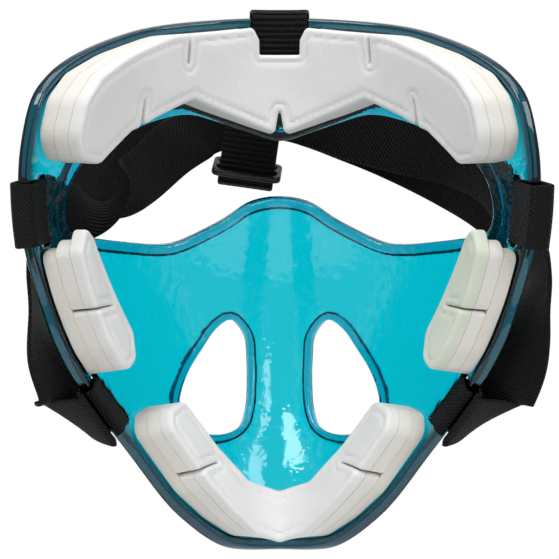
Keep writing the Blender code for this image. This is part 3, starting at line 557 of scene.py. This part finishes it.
def polycarbonate():
    """Injection-moulded clear teal polycarbonate: glossy, deep in tint where it is thick.

    The tint is in the volume, so a long way through it looks dark.  Near the rim the base colour
    is darkened too, by the rim attribute: a painted shade for the rim's dark look.  The mould left
    a faint hammered texture, about 5 mm across, and wear has left fine scratches.
    """
    made, tree, shader, output = new_material("moulded teal polycarbonate")
    spot = tree.nodes.new("ShaderNodeTexCoord").outputs["Object"]
    hammered = node(tree, "ShaderNodeTexNoise", Vector=spot, Scale=210.0, Detail=2.0,
                    Roughness=0.45)
    stretched = node(tree, "ShaderNodeMapping", Vector=spot, Rotation=(0.4, 0.9, 0.5),
                     Scale=(60.0, 60.0, 2600.0))
    scratched = node(tree, "ShaderNodeTexNoise", Vector=stretched.outputs[0], Scale=1.0, Detail=3.0)
    thin = node(tree, "ShaderNodeMapRange", Value=scratched.outputs[0], From_Min=0.66,
                From_Max=0.74, To_Min=0.0, To_Max=1.0)
    rim = node(tree, "ShaderNodeAttribute", {"attribute_name": "rim"}).outputs["Fac"]
    calm = node(tree, "ShaderNodeMapRange", Value=rim, To_Min=0.45, To_Max=0.05)
    first = node(tree, "ShaderNodeBump", Strength=calm.outputs[0], Distance=0.0008,
                 Height=hammered.outputs[0])
    # painted shade: the base colour goes from white to dark teal by the rim attribute, standing in
    # for the rim's dark look
    painted_rim_shade = blended(tree, rim, (1, 1, 1, 1), (0.02, 0.075, 0.09, 1))
    tree.links.new(painted_rim_shade, shader.inputs["Base Color"])
    both = node(tree, "ShaderNodeBump", Strength=0.12, Distance=0.0002, Height=thin.outputs[0],
                Normal=first.outputs[0])
    rough = node(tree, "ShaderNodeMapRange", Value=scratched.outputs[0], From_Min=0.5, From_Max=0.8,
                 To_Min=0.03, To_Max=0.10)
    shader.inputs["Transmission Weight"].default_value = 1.0
    shader.inputs["IOR"].default_value = 1.585
    tree.links.new(rough.outputs[0], shader.inputs["Roughness"])
    tree.links.new(both.outputs[0], shader.inputs["Normal"])
    dye = node(tree, "ShaderNodeVolumeAbsorption", Color=(0.0, 0.9146, 0.9417, 1.0), Density=2400.0)
    tree.links.new(dye.outputs[0], output.inputs["Volume"])
    return made


def foam(name, pale, shade, pores, depth):
    """Closed-cell EVA foam: matt, a fine skin of pores under 1 mm and a slow unevenness."""
    made, tree, shader, _ = new_material(name)
    spot = tree.nodes.new("ShaderNodeTexCoord").outputs["Object"]
    fine = node(tree, "ShaderNodeTexVoronoi", Vector=spot, Scale=pores)
    slow = node(tree, "ShaderNodeTexNoise", Vector=spot, Scale=140.0, Detail=4.0, Roughness=0.6)
    patchy = node(tree, "ShaderNodeTexNoise", Vector=spot, Scale=38.0, Detail=3.0)
    colour = blended(tree, patchy.outputs[0], srgb(shade), srgb(pale))
    first = node(tree, "ShaderNodeBump", Strength=0.35, Distance=depth, Height=fine.outputs[0])
    both = node(tree, "ShaderNodeBump", Strength=0.30, Distance=0.0008, Height=slow.outputs[0],
                Normal=first.outputs[0])
    tree.links.new(colour, shader.inputs["Base Color"])
    tree.links.new(both.outputs[0], shader.inputs["Normal"])
    shader.inputs["Roughness"].default_value = 0.78
    shader.inputs["IOR"].default_value = 1.48
    shader.inputs["Specular IOR Level"].default_value = 0.3
    shader.inputs["Subsurface Weight"].default_value = 0.12
    shader.inputs["Subsurface Radius"].default_value = (0.6, 0.6, 0.6)
    shader.inputs["Subsurface Scale"].default_value = 0.002
    shader.inputs["Sheen Weight"].default_value = 0.08
    return made


def glue():
    """Dried contact adhesive: a thin yellowed film, uneven in colour, half gloss."""
    made, tree, shader, _ = new_material("yellowed contact adhesive")
    spot = tree.nodes.new("ShaderNodeTexCoord").outputs["Object"]
    patchy = node(tree, "ShaderNodeTexNoise", Vector=spot, Scale=160.0, Detail=3.0)
    colour = blended(tree, patchy.outputs[0], srgb("C9A25E"), srgb("EBDDB9"))
    tree.links.new(colour, shader.inputs["Base Color"])
    shader.inputs["Roughness"].default_value = 0.45
    shader.inputs["IOR"].default_value = 1.5
    return made


def woven(name, twill, pitch, depth, low, high):
    """Black polyester webbing over elastic: matt yarn with a dull sheen.

    Twill ridges cross the webbing at a slant, one each pitch in mm, and plain webbing has
    ribs straight across; the yarns in each ridge are 0.6 mm apart, drawn at 0.8 mm to show.
    """
    made, tree, shader, _ = new_material(name)
    place = tree.nodes.new("ShaderNodeUVMap")
    place.uv_map = "weave"
    split = node(tree, "ShaderNodeSeparateXYZ", Vector=place.outputs[0])
    along, across = split.outputs[0], split.outputs[1]
    wobble = node(tree, "ShaderNodeTexNoise", Vector=place.outputs[0], Scale=0.35, Detail=2.0)
    drift = node(tree, "ShaderNodeMath", {"operation": "MULTIPLY"}, _0=wobble.outputs[0], _1=0.9)
    if twill:
        way = node(tree, "ShaderNodeMath", {"operation": "MULTIPLY_ADD"}, _0=across, _1=twill,
                   _2=along)
    else:
        way = node(tree, "ShaderNodeMath", {"operation": "ADD"}, _0=along, _1=0.0)
    moved = node(tree, "ShaderNodeMath", {"operation": "ADD"}, _0=way.outputs[0],
                 _1=drift.outputs[0])
    turn = node(tree, "ShaderNodeMath", {"operation": "MULTIPLY"}, _0=moved.outputs[0],
                _1=2 * pi / pitch)
    ridge_wave = node(tree, "ShaderNodeMath", {"operation": "SINE"}, _0=turn.outputs[0])
    yarn_turn = node(tree, "ShaderNodeMath", {"operation": "MULTIPLY"}, _0=across, _1=2 * pi / 0.8)
    yarn = node(tree, "ShaderNodeMath", {"operation": "SINE"}, _0=yarn_turn.outputs[0])
    height = node(tree, "ShaderNodeMath", {"operation": "MULTIPLY_ADD"}, _0=yarn.outputs[0],
                  _1=0.35, _2=ridge_wave.outputs[0])
    # the colour runs from low to high with the weave's height, times random fuzz: the raised yarns
    # are painted lighter, partly a painted highlight and partly random tone
    share = node(tree, "ShaderNodeMapRange", Value=height.outputs[0], From_Min=-1.2, From_Max=1.35)
    fuzz = node(tree, "ShaderNodeTexNoise", Vector=place.outputs[0], Scale=2.2, Detail=3.0)
    tone = node(tree, "ShaderNodeMath", {"operation": "MULTIPLY"}, _0=share.outputs[0],
                _1=fuzz.outputs[0])
    spread = node(tree, "ShaderNodeMapRange", Value=tone.outputs[0], From_Min=0.05, From_Max=0.6)
    colour = blended(tree, spread.outputs[0], srgb(low), srgb(high))
    bump = node(tree, "ShaderNodeBump", Strength=0.9, Distance=depth, Height=height.outputs[0])
    tree.links.new(colour, shader.inputs["Base Color"])
    tree.links.new(bump.outputs[0], shader.inputs["Normal"])
    shader.inputs["Roughness"].default_value = 0.62
    shader.inputs["IOR"].default_value = 1.5
    shader.inputs["Specular IOR Level"].default_value = 0.2
    shader.inputs["Sheen Weight"].default_value = 0.02
    shader.inputs["Sheen Roughness"].default_value = 0.45
    return made


def acetal():
    """Injection-moulded black acetal: half gloss with a very fine orange peel."""
    made, tree, shader, _ = new_material("moulded black acetal")
    spot = tree.nodes.new("ShaderNodeTexCoord").outputs["Object"]
    peel = node(tree, "ShaderNodeTexNoise", Vector=spot, Scale=900.0, Detail=2.0)
    worn = node(tree, "ShaderNodeTexNoise", Vector=spot, Scale=260.0, Detail=3.0)
    rough = node(tree, "ShaderNodeMapRange", Value=worn.outputs[0], To_Min=0.18, To_Max=0.38)
    bump = node(tree, "ShaderNodeBump", Strength=0.15, Distance=0.0002, Height=peel.outputs[0])
    shader.inputs["Base Color"].default_value = srgb("0D0E10")
    tree.links.new(rough.outputs[0], shader.inputs["Roughness"])
    tree.links.new(bump.outputs[0], shader.inputs["Normal"])
    shader.inputs["IOR"].default_value = 1.48
    return made


TEAL = polycarbonate()
FOAM = {"face": foam("white skinned EVA foam", "EFEFEE", "E3E3E2", 1500.0, 0.0002),
        "core": foam("white split EVA foam", "EDECE8", "E2E0DA", 1100.0, 0.0003),
        "base": foam("off-white EVA foam backing", "ECEAE4", "DFDCD2", 1100.0, 0.0003)}
# painted shade: a greenish copy of the white face foam, for the right cheek pad's face
FOAM_PAINTED_SHADE = foam("skinned EVA foam, painted greenish shade", "E3E9DC", "D3DBCB", 1500.0, 0.0002)
GLUE = glue()
TWILL = woven("black twill elastic webbing", 1.0, 1.9, 0.0004, "020203", "141417")
TWILL_BACK = woven("black twill elastic webbing, other hand", -1.0, 1.9, 0.0004, "020203", "141417")
RIBBED = woven("black ribbed elastic webbing", 0.0, 2.4, 0.0004, "030304", "1B1B1E")
ACETAL = acetal()


# --------------------------------------------------------------- shell ----
def slot_outline(slot, side):
    """A rectangle with 1.2 mm corners, turned to its slope and mirrored to its side."""
    u, z, slope = slot
    size = stretch(np.array(u), np.array(z))
    c, s = cos(radians(slope)), sin(radians(slope))
    half_l, half_w = SLOT_LENGTH / 2 / MM, SLOT_WIDTH / 2 / MM
    box = rounded([(half_l, half_w, 1.2), (-half_l, half_w, 1.2), (-half_l, -half_w, 1.2),
                   (half_l, -half_w, 1.2)], 22.0)
    turned = np.stack([c * box[:, 0] - s * box[:, 1], s * box[:, 0] + c * box[:, 1]], axis=1)
    return (turned / size + (u, z)) * (side, 1)


def lip_profile(width, step):
    """Rows (inset, t) round an edge: 1.2 mm rounding, then a lip that drops to the wall."""
    end = width + step
    rows = [(end, 0), (end * 0.55, 0), (1.3, 0), (0.7, 0.14), (0.25, 0.5), (0.02, 1.1), (0.0, 2.5)]
    rows += [(0.02, 3.9), (0.25, 4.5), (0.7, 4.86), (1.3, 5.0), (width - 0.5, 5.0), (width, 4.8)]
    rows += [(width + step * 0.45, 4.1), (width + step * 0.75, 3.3), (end, 3.0)]
    return MM * np.array(rows)


def make_shell():
    """The wall with its openings and slots; lips round the rim, the eyes and breathing holes."""
    rim = catmull(mirrored(RIM), 3.0 * MM, True)
    eyes = catmull(mirrored(EYES), 2.6 * MM, True)
    holes = [catmull(HOLE * (side, 1), 2.2 * MM, True) for side in (1, -1)]
    slots = [evened(slot_outline(slot, side), 2.5 * MM) for slot, side in
             ((UPPER_SLOT, 1), (UPPER_SLOT, -1), (LOWER_SLOT, 1), (LOWER_SLOT, -1), (TOP_SLOT, 1))]
    plain = MM * np.array([(0.45, 0), (0.2, 0.08), (0.03, 0.35), (0, 1.0), (0, 2.0), (0.03, 2.65),
                           (0.2, 2.92), (0.45, 3.0)])
    edges = [lip_profile(*RIM_LIP), lip_profile(*EYES_LIP)]
    edges += [lip_profile(*HOLE_LIP)] * len(holes) + [plain] * len(slots)

    def place(u, z, t):
        return wrap(u, z, t, nose=True)

    def narrowed(points):
        away = np.stack([np.abs(points[:, 0]), points[:, 1]], axis=1) - JAW_BAR
        gap = np.linalg.norm(away, axis=1)
        return JAW_LIP + (1 - JAW_LIP) * ramp(gap, *JAW_REACH)

    made = plate("shell_moulding", [rim, eyes] + holes + slots, edges, SHELL_GRID, place, TEAL,
                 size_of=stretch, narrowed=narrowed)
    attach(made, "shell")
    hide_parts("shell")


# ---------------------------------------------------------------- pads ----
def with_slits(corners, slits):
    """The corner list with each named slit's own corners put in, or left out."""
    out = []
    for corner in corners:
        if isinstance(corner, str):
            out += slits.get(corner, [])
        else:
            out.append(corner)
    return out


def crown(points, distance):
    """A soft skin: 0.7 mm lower at the edge, and a line pressed in 3.4 mm inside it."""
    fall = 0.7 * MM * np.exp(-distance / (1.7 * MM))
    pressed = 0.75 * MM * np.exp(-((distance - 3.4 * MM) / (0.75 * MM)) ** 2)
    swell = 0.25 * MM * np.sin(points[:, 0] / (7.0 * MM)) * np.sin(points[:, 1] / (6.0 * MM) + 1.0)
    return fall + pressed + swell * ramp(distance, 2 * MM, 8 * MM)


def make_pad(name, outlines, gap, foams):
    """Three foam layers and the glue between them, the face layer soft-edged and crowned."""
    def place(u, z, t):
        return wrap(u, z, t, level=PAD_LEVEL)

    grown = (gap - GLUE_FILM) / 2
    for number, kind in enumerate(("base", "core", "face")):
        top = -gap - number * (LAYER + gap)
        high, low = top + (grown if number else 0.0), top - LAYER - (grown if number < 2 else 0.0)
        outline = evened(outlines[kind], 1.8 * MM)
        thick = (high - low) / MM
        if kind == "face":
            edge = [(1.5, 0), (0.95, 0.10), (0.45, 0.36), (0.14, 0.85), (0, 1.6), (0, 3.4),
                    (0.0, thick - 0.12), (0.12, thick), (1.5, thick)]
        else:
            edge = [(0.7, 0), (0.06, 0), (0, 0.06), (0, thick - 0.06), (0.06, thick), (0.7, thick)]
        made = plate(f"{name}_{kind}_foam", [outline], [MM * np.array(edge) + (0.0, low)],
                     FACE_GRID if kind == "face" else LAYER_GRID, place, foams[kind],
                     relief=crown if kind == "face" else None, size_of=stretch)
        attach(made, "shell")
        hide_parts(f"{name}_{kind}")
        if number:
            deep = GLUE_FILM / MM
            film = [(0.8, 0.01), (0.14, 0.01), (0.1, deep / 2), (0.14, deep - 0.01),
                    (0.8, deep - 0.01)]
            film = plate(f"{name}_{kind}_glue", [outline], [MM * np.array(film) + (0.0, high)],
                         LAYER_GRID, place, GLUE, size_of=stretch)
            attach(film, "shell")


def brow_outline(notch, floor, slits):
    """The brow pad's outline with its notch for the top strap."""
    half = with_slits(BROW_PAD[:-1], slits) + [(notch + 3.2, BROW_PAD[-1][1], 3),
                                               (notch, floor + 6, 2.5), (notch - 0.3, floor, 0.8)]
    return rounded(half + [(-u, z, r) for u, z, r in reversed(half)])


def make_pads():
    """The brow pad, the two cheek pads and the chin pad."""
    narrow = brow_outline(NOTCH_HALF, NOTCH_FLOOR, BROW_SLITS)
    make_pad("brow_pad", {"base": brow_outline(NOTCH_HALF_BASE, NOTCH_FLOOR_BASE, {}),
                          "core": narrow, "face": narrow}, PAD_GAP, FOAM)
    for side, word in ((-1, "left"), (1, "right")):
        outlines = {}
        for kind, top in CHEEK_TOPS.items():
            corners = with_slits(top + CHEEK_PAD, {} if kind == "base" else {"slit": CHEEK_SLIT})
            outlines[kind] = rounded([(side * u, z, r) for u, z, r in corners])
        # the right cheek's face layer gets the greenish copy, a painted shade
        foams = dict(FOAM, face=FOAM_PAINTED_SHADE) if side > 0 else FOAM
        make_pad(f"cheek_pad_{word}", outlines, PAD_GAP, foams)
    outlines = {}
    for kind in ("base", "core", "face"):
        half = with_slits(CHIN_PAD, {} if kind == "base" else {"slit": CHIN_SLIT})
        outlines[kind] = rounded(half + [(-u, z, r) for u, z, r in half[-2:0:-1]])
    make_pad("chin_pad", outlines, CHIN_GAP, FOAM)


# ------------------------------------------------------------- webbing ----
def arc(middle, radius, start, end, steps):
    """Points along an arc in the (v, t) plane, angles in degrees."""
    turns = np.radians(np.linspace(start, end, steps + 1))
    return [(middle[0] + radius * cos(a), middle[1] + radius * sin(a)) for a in turns]


def loop_path(bar, slack):
    """The way round a slot's bar: v outwards across the bar, t out of the wall."""
    near, far = SLOT_WIDTH / 2, SLOT_WIDTH / 2 + bar
    snug = LOOP_GAP + STRAP_THICK / 2
    loose = snug + 0.4 * MM
    path = [(-LOOP_TAIL, WALL + snug), (-2.6 * MM, WALL + snug)]
    path += [(-0.4 * MM, WALL - 0.1 * MM), (near - snug, 1.0 * MM)]
    path += arc((near, 0.0), snug, 180, 270, 3)
    path += arc((far + slack, 0.0), loose, 270, 360, 3)
    path += arc((far + slack, LIP), loose, 0, 90, 3)
    path += [(near + 0.5 * MM, LIP + snug)]
    return np.array(path)


def drop_path(bar):
    """The way round a slot's bar for a loop that is sewn shut beyond the rim."""
    near, far = SLOT_WIDTH / 2, SLOT_WIDTH / 2 + bar
    snug = LOOP_GAP + STRAP_THICK / 2
    tip, low = far + DROP_REACH, 1.6 * MM
    path = [(tip, low), (far + 1.3 * MM, -0.8 * MM), (far - 0.9 * MM, -snug)]
    path += arc((near, 0.0), snug, 270, 180, 3)
    path += arc((near, LIP), snug, 180, 90, 3)
    path += [(far - 0.5 * MM, LIP + snug), (tip, LIP - 0.2 * MM)]
    return np.array(path)


def place_on_slot(slot, side, v, t, s):
    """The place at v across a slot's bar, s along the slot and t out of the wall."""
    u0, z0, slope = slot
    size = stretch(np.array(u0), np.array(z0))
    c, w = cos(radians(slope)), sin(radians(slope))
    out = (w, -c) if slope else (0.0, 1.0)
    u = u0 + (s * c + v * out[0]) / size[0]
    z = z0 + (s * w + v * out[1]) / size[1]
    return wrap(side * u, z, t)


def anchor_loop(name, node_name, slot, side, path, material, pitch=None, height=0.0):
    """Webbing round a slot's bar: its section carried along the path in the (v, t) plane."""
    way = catmull(np.column_stack([path, 0 * path[:, 0]]), 0.45 * MM, False)[:, :2]
    onward = np.gradient(way, axis=0)
    onward /= np.linalg.norm(onward, axis=1, keepdims=True)
    normal = np.stack([-onward[:, 1], onward[:, 0]], axis=1)
    lengths = np.concatenate([[0], np.cumsum(np.linalg.norm(np.diff(way, axis=0), axis=1))])
    section = webbing_section()
    b = np.broadcast_to(section[:, 1], (len(way), len(section)))
    if pitch:
        b = b + ribs(lengths, section, pitch, height)
    v = way[:, :1] + normal[:, :1] * b
    t = way[:, 1:] + normal[:, 1:] * b
    s = np.broadcast_to(section[:, 0], v.shape)
    made = tube_mesh(name, place_on_slot(slot, side, v, t, s), lengths, section[:, 0], material)
    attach(made, "shell")
    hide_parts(node_name)


def facing(rows, before, after):
    """Stations from centres and outward faces, the width square to the way and to the face."""
    rows = np.array(rows, float)
    centres = np.concatenate([[before], MM * rows[:, :3], [after]])
    across = np.cross(centres[2:] - centres[:-2], rows[:, 3:])
    across /= np.linalg.norm(across, axis=1, keepdims=True)
    return np.concatenate([centres[1:-1], across], axis=1)


def slot_stations(slot, side, heights):
    """Stations at (v, t) on a slot's outer side, with the webbing along the slot."""
    v, t = np.array(heights).T
    ends = [place_on_slot(slot, side, v, t, np.full(len(v), s)) + ORIGIN for s in (-MM, MM)]
    across = ends[1] - ends[0]
    across /= np.linalg.norm(across, axis=1, keepdims=True)
    return np.concatenate([(ends[0] + ends[1]) / 2, across], axis=1)


def split_at(rows, middle):
    """The rows before and after the one that is nearest to the crossing."""
    split = int(np.argmin(np.linalg.norm(rows[:, :3] - middle, axis=1)))
    first, second = rows[:split].copy(), rows[split:].copy()
    return first, second


def turned(rows, turn):
    """The rows with their width turned about the way: Rodrigues' rule square to the axis."""
    way = np.gradient(rows[:, :3], axis=0)
    way /= np.linalg.norm(way, axis=1, keepdims=True)
    turn = turn[:, None]
    across = rows[:, 3:] * np.cos(turn) + np.cross(way, rows[:, 3:]) * np.sin(turn)
    return np.concatenate([rows[:, :3], across], axis=1)


def make_straps():
    """The upper and lower side straps, each pair meeting at the crossing."""
    snug = LIP + LOOP_GAP + STRAP_THICK / 2
    heights = [(v * MM, snug) for v in (1.8, -5.0, -12.0)]
    left, right = (slot_stations(UPPER_SLOT, side, heights) for side in (-1, 1))
    middle = facing(UPPER_ROUTE, left[-1, :3], right[-1, :3])
    upper = catmull(np.concatenate([left, middle, right[::-1]]), 1.2 * MM, False)
    tip = SLOT_WIDTH / 2 + LOWER_BAR + DROP_REACH + 3 * GAP
    level = (1.6 * MM + LIP - 0.2 * MM) / 2
    heights = [(tip, level), (tip + 3 * MM, level)]
    left, right = (slot_stations(LOWER_SLOT, side, heights) for side in (-1, 1))
    fold = np.array(FOLD) * ((MM,) * 3 + (1,) * 3)
    folds = fold, fold * (-1, 1, 1, -1, 1, 1)
    middle = facing(LOWER_ROUTE, folds[0][:3], folds[1][:3])
    rows = np.concatenate([left, folds[:1], middle, folds[1:], right[::-1]])
    lower = catmull(rows, 1.2 * MM, False)
    pairs = (("upper", upper, HUB), ("lower", lower, HUB + HUB_OUT * LAYER_STEP))
    for word, rows, crossing in pairs:
        for hand, part in zip(("left", "right"), split_at(rows, crossing)):
            share = np.linspace(0, 1, len(part))
            if (word, hand) == ("upper", "left"):
                half_turn = ramp(share, *TWIST_SPAN)
                face = np.cross(np.gradient(part[:, :3], axis=0), part[:, 3:])
                face *= np.sign(face[:, 1:2]) / np.linalg.norm(face, axis=1, keepdims=True)
                part[:, :3] -= face * (TWIST_SINK * 4 * half_turn * (1 - half_turn))[:, None]
                part = turned(part, pi * (1 - half_turn))
            if (word, hand) == ("lower", "right"):
                part = turned(part, LEAN * ramp(share, *LEAN_IN) * ramp(share, *LEAN_OUT))
            made = webbing(f"{word}_webbing_{hand}", part, TWILL if hand == "right" else TWILL_BACK)
            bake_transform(made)
            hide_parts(f"{word}_strap_{hand}")


def top_path():
    """The doubled strap in the plane square to the brow: over, down behind, up in front."""
    fold = (REAR_RUN - FRONT_RUN) / 2
    middle = (REAR_RUN + FRONT_RUN) / 2
    turn = REAR_RUN - 5.0 * MM
    path = [(turn - 5.5 * MM, LOOP_TOP - 0.6 * MM), (turn - 2.0 * MM, LOOP_TOP)]
    path += [(turn + 5.0 * MM * sin(a), LOOP_TOP - 5.0 * MM * (1 - cos(a)))
             for a in np.radians((0, 30, 60, 90))]
    path += [(REAR_RUN, 3.0 * MM), (REAR_RUN, -12.0 * MM), (REAR_RUN, -SLIDER_DROP)]
    path += [(middle + fold * cos(a), -LOOP_FLOOR - fold * sin(a))
             for a in np.radians(np.arange(0, 181, 30))]
    path += [(FRONT_RUN, -SLIDER_DROP), (FRONT_RUN, -12.0 * MM), (FRONT_RUN, 0.0),
             (FRONT_RUN, LOOP_END)]
    return path


def make_top_strap():
    """The ribbed strap from the brow slot and its doubled end round the crossing."""
    centre = np.array([HUB + HUB_OUT * y + HUB_UP * z for y, z in top_path()])
    rows = catmull(np.concatenate([centre, np.broadcast_to(HUB_ACROSS, centre.shape)], axis=1),
                   0.4 * MM, False)
    made = webbing("top_webbing_loop", rows, RIBBED, pitch=RIB_PITCH,
                   height=RIB_HEIGHT)
    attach(made, "harness")
    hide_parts("top_strap_loop")
    snug = LIP + LOOP_GAP + STRAP_THICK / 2
    start = slot_stations(TOP_SLOT, 1, [((v * MM), snug + rise * MM)
                                        for v, rise in ((1.25, 0.1), (-5.0, 0.5), (-10.0, 0.8))])
    onward = (centre[1] - centre[0]) / np.linalg.norm(centre[1] - centre[0])
    last = np.concatenate([centre[0] - onward * GAP, HUB_ACROSS])
    free = np.array(TOP_FREE) * ((MM,) * 3 + (1,) * 3)
    rows = catmull(np.concatenate([start, [free, last]]), 0.4 * MM, False)
    made = webbing("top_webbing", rows, RIBBED, pitch=RIB_PITCH, height=RIB_HEIGHT)
    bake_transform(made)
    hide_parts("top_strap")


def make_slider():
    """The three-bar slider: a tilted plate with two windows and every edge rounded."""
    place_at = HUB + HUB_OUT * (FRONT_RUN + REAR_RUN) / 2 - HUB_UP * SLIDER_DROP
    high = HUB_OUT * cos(SLIDER_TILT) + HUB_UP * sin(SLIDER_TILT)
    face = HUB_UP * cos(SLIDER_TILT) - HUB_OUT * sin(SLIDER_TILT)

    def place(u, z, t):
        spread = u[..., None] * HUB_ACROSS + z[..., None] * high + t[..., None] * face
        return place_at + spread - ORIGIN

    outer = evened(rounded([(15.7, 8.5, 3), (-15.7, 8.5, 3), (-15.7, -8.5, 3), (15.7, -8.5, 3)]),
                   2 * MM)
    windows = []
    for side in (-1, 1):
        low, up = (1.6, 5.1) if side > 0 else (-5.1, -1.6)
        corners = [(13.1, up, 0.9), (-13.1, up, 0.9), (-13.1, low, 0.9), (13.1, low, 0.9)]
        windows.append(evened(rounded(corners, 15.0), 2 * MM))
    edge = MM * np.array([(0.85, -1.4), (0.5, -1.33), (0.2, -1.1), (0.03, -0.75), (0, 0),
                          (0.03, 0.75), (0.2, 1.1), (0.5, 1.33), (0.85, 1.4)])
    made = plate("slider_moulding", [outer] + windows, [edge] * 3, 2.0 * MM, place, ACETAL)
    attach(made, "slider")
    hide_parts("top_slider")


# --------------------------------------------------------------- stage ----
def make_stage():
    """A pale round floor, a room that is white behind and dim in front, soft lights, the camera."""
    scene = bpy.context.scene
    scene.view_settings.view_transform = "Standard"
    scene.view_settings.look = "None"
    floor = bpy.data.meshes.new("floor")
    turn = np.linspace(0, 2 * pi, 97)[:-1]
    ring = np.stack([FLOOR_RADIUS * np.cos(turn), FLOOR_RADIUS * np.sin(turn),
                     0 * turn + FLOOR_LEVEL], axis=1)
    floor.from_pydata(ring.tolist(), [], [list(range(len(ring)))])
    floor = bpy.data.objects.new("floor", floor)
    scene.collection.objects.link(floor)
    pale, tree, shader, _ = new_material("pale studio floor")
    shader.inputs["Base Color"].default_value = (0.9, 0.9, 0.9, 1)
    shader.inputs["Roughness"].default_value = 0.9
    shader.inputs["Specular IOR Level"].default_value = 0.0
    floor.data.materials.append(pale)

    world = bpy.data.worlds.new("studio")
    world.use_nodes = True
    tree = world.node_tree
    back = tree.nodes["Background"]
    way = node(tree, "ShaderNodeSeparateXYZ",
               Vector=tree.nodes.new("ShaderNodeTexCoord").outputs["Generated"])
    depth = node(tree, "ShaderNodeMapRange", {"interpolation_type": "SMOOTHSTEP"},
                 Value=way.outputs[1], From_Min=0.40, From_Max=0.82, To_Min=0.30, To_Max=1.02)
    back.inputs["Color"].default_value = (1, 1, 1, 1)
    tree.links.new(depth.outputs[0], back.inputs["Strength"])
    scene.world = world

    for name, place, size, power in (("key", (-0.45, -0.80, 0.85), 0.60, 7.5),
                                     ("fill", (0.80, -0.80, 0.45), 0.60, 4.8),
                                     ("top", (0.0, -0.20, 1.0), 0.80, 5.0)):
        lamp = bpy.data.lights.new(name, "AREA")
        lamp.size = size
        lamp.energy = power
        holder = bpy.data.objects.new(name, lamp)
        holder.location = place
        aim = Vector((0, 0, -0.08)) - Vector(place)
        holder.rotation_euler = aim.to_track_quat("-Z", "Y").to_euler()
        scene.collection.objects.link(holder)

    camera = bpy.data.cameras.new("camera")
    camera.sensor_width = 36.0
    camera.lens = camera.sensor_width * CAMERA_AWAY / VIEW_WIDTH
    camera.clip_start = 0.01
    holder = bpy.data.objects.new("camera", camera)
    holder.location = Vector((0.0, -CAMERA_AWAY, 0.0)) - Vector(ORIGIN)
    holder.rotation_euler = (radians(90), 0, 0)
    scene.collection.objects.link(holder)
    scene.camera = holder


make_stage()
make_shell()
make_pads()
for SIDE, WORD, SLACK in ((-1, "left", 0.0), (1, "right", 4.0 * MM)):
    CLOTH = TWILL_BACK if SIDE < 0 else TWILL
    anchor_loop(f"upper_webbing_loop_{WORD}", f"upper_loop_{WORD}", UPPER_SLOT, SIDE,
                loop_path(UPPER_BAR, SLACK), CLOTH)
    anchor_loop(f"lower_webbing_loop_{WORD}", f"lower_loop_{WORD}", LOWER_SLOT, SIDE,
                drop_path(LOWER_BAR), CLOTH)
anchor_loop("top_webbing_anchor", "top_loop", TOP_SLOT, 1, loop_path(TOP_BAR, 0.0), RIBBED,
            pitch=RIB_PITCH, height=RIB_HEIGHT)
make_straps()
make_top_strap()
make_slider()
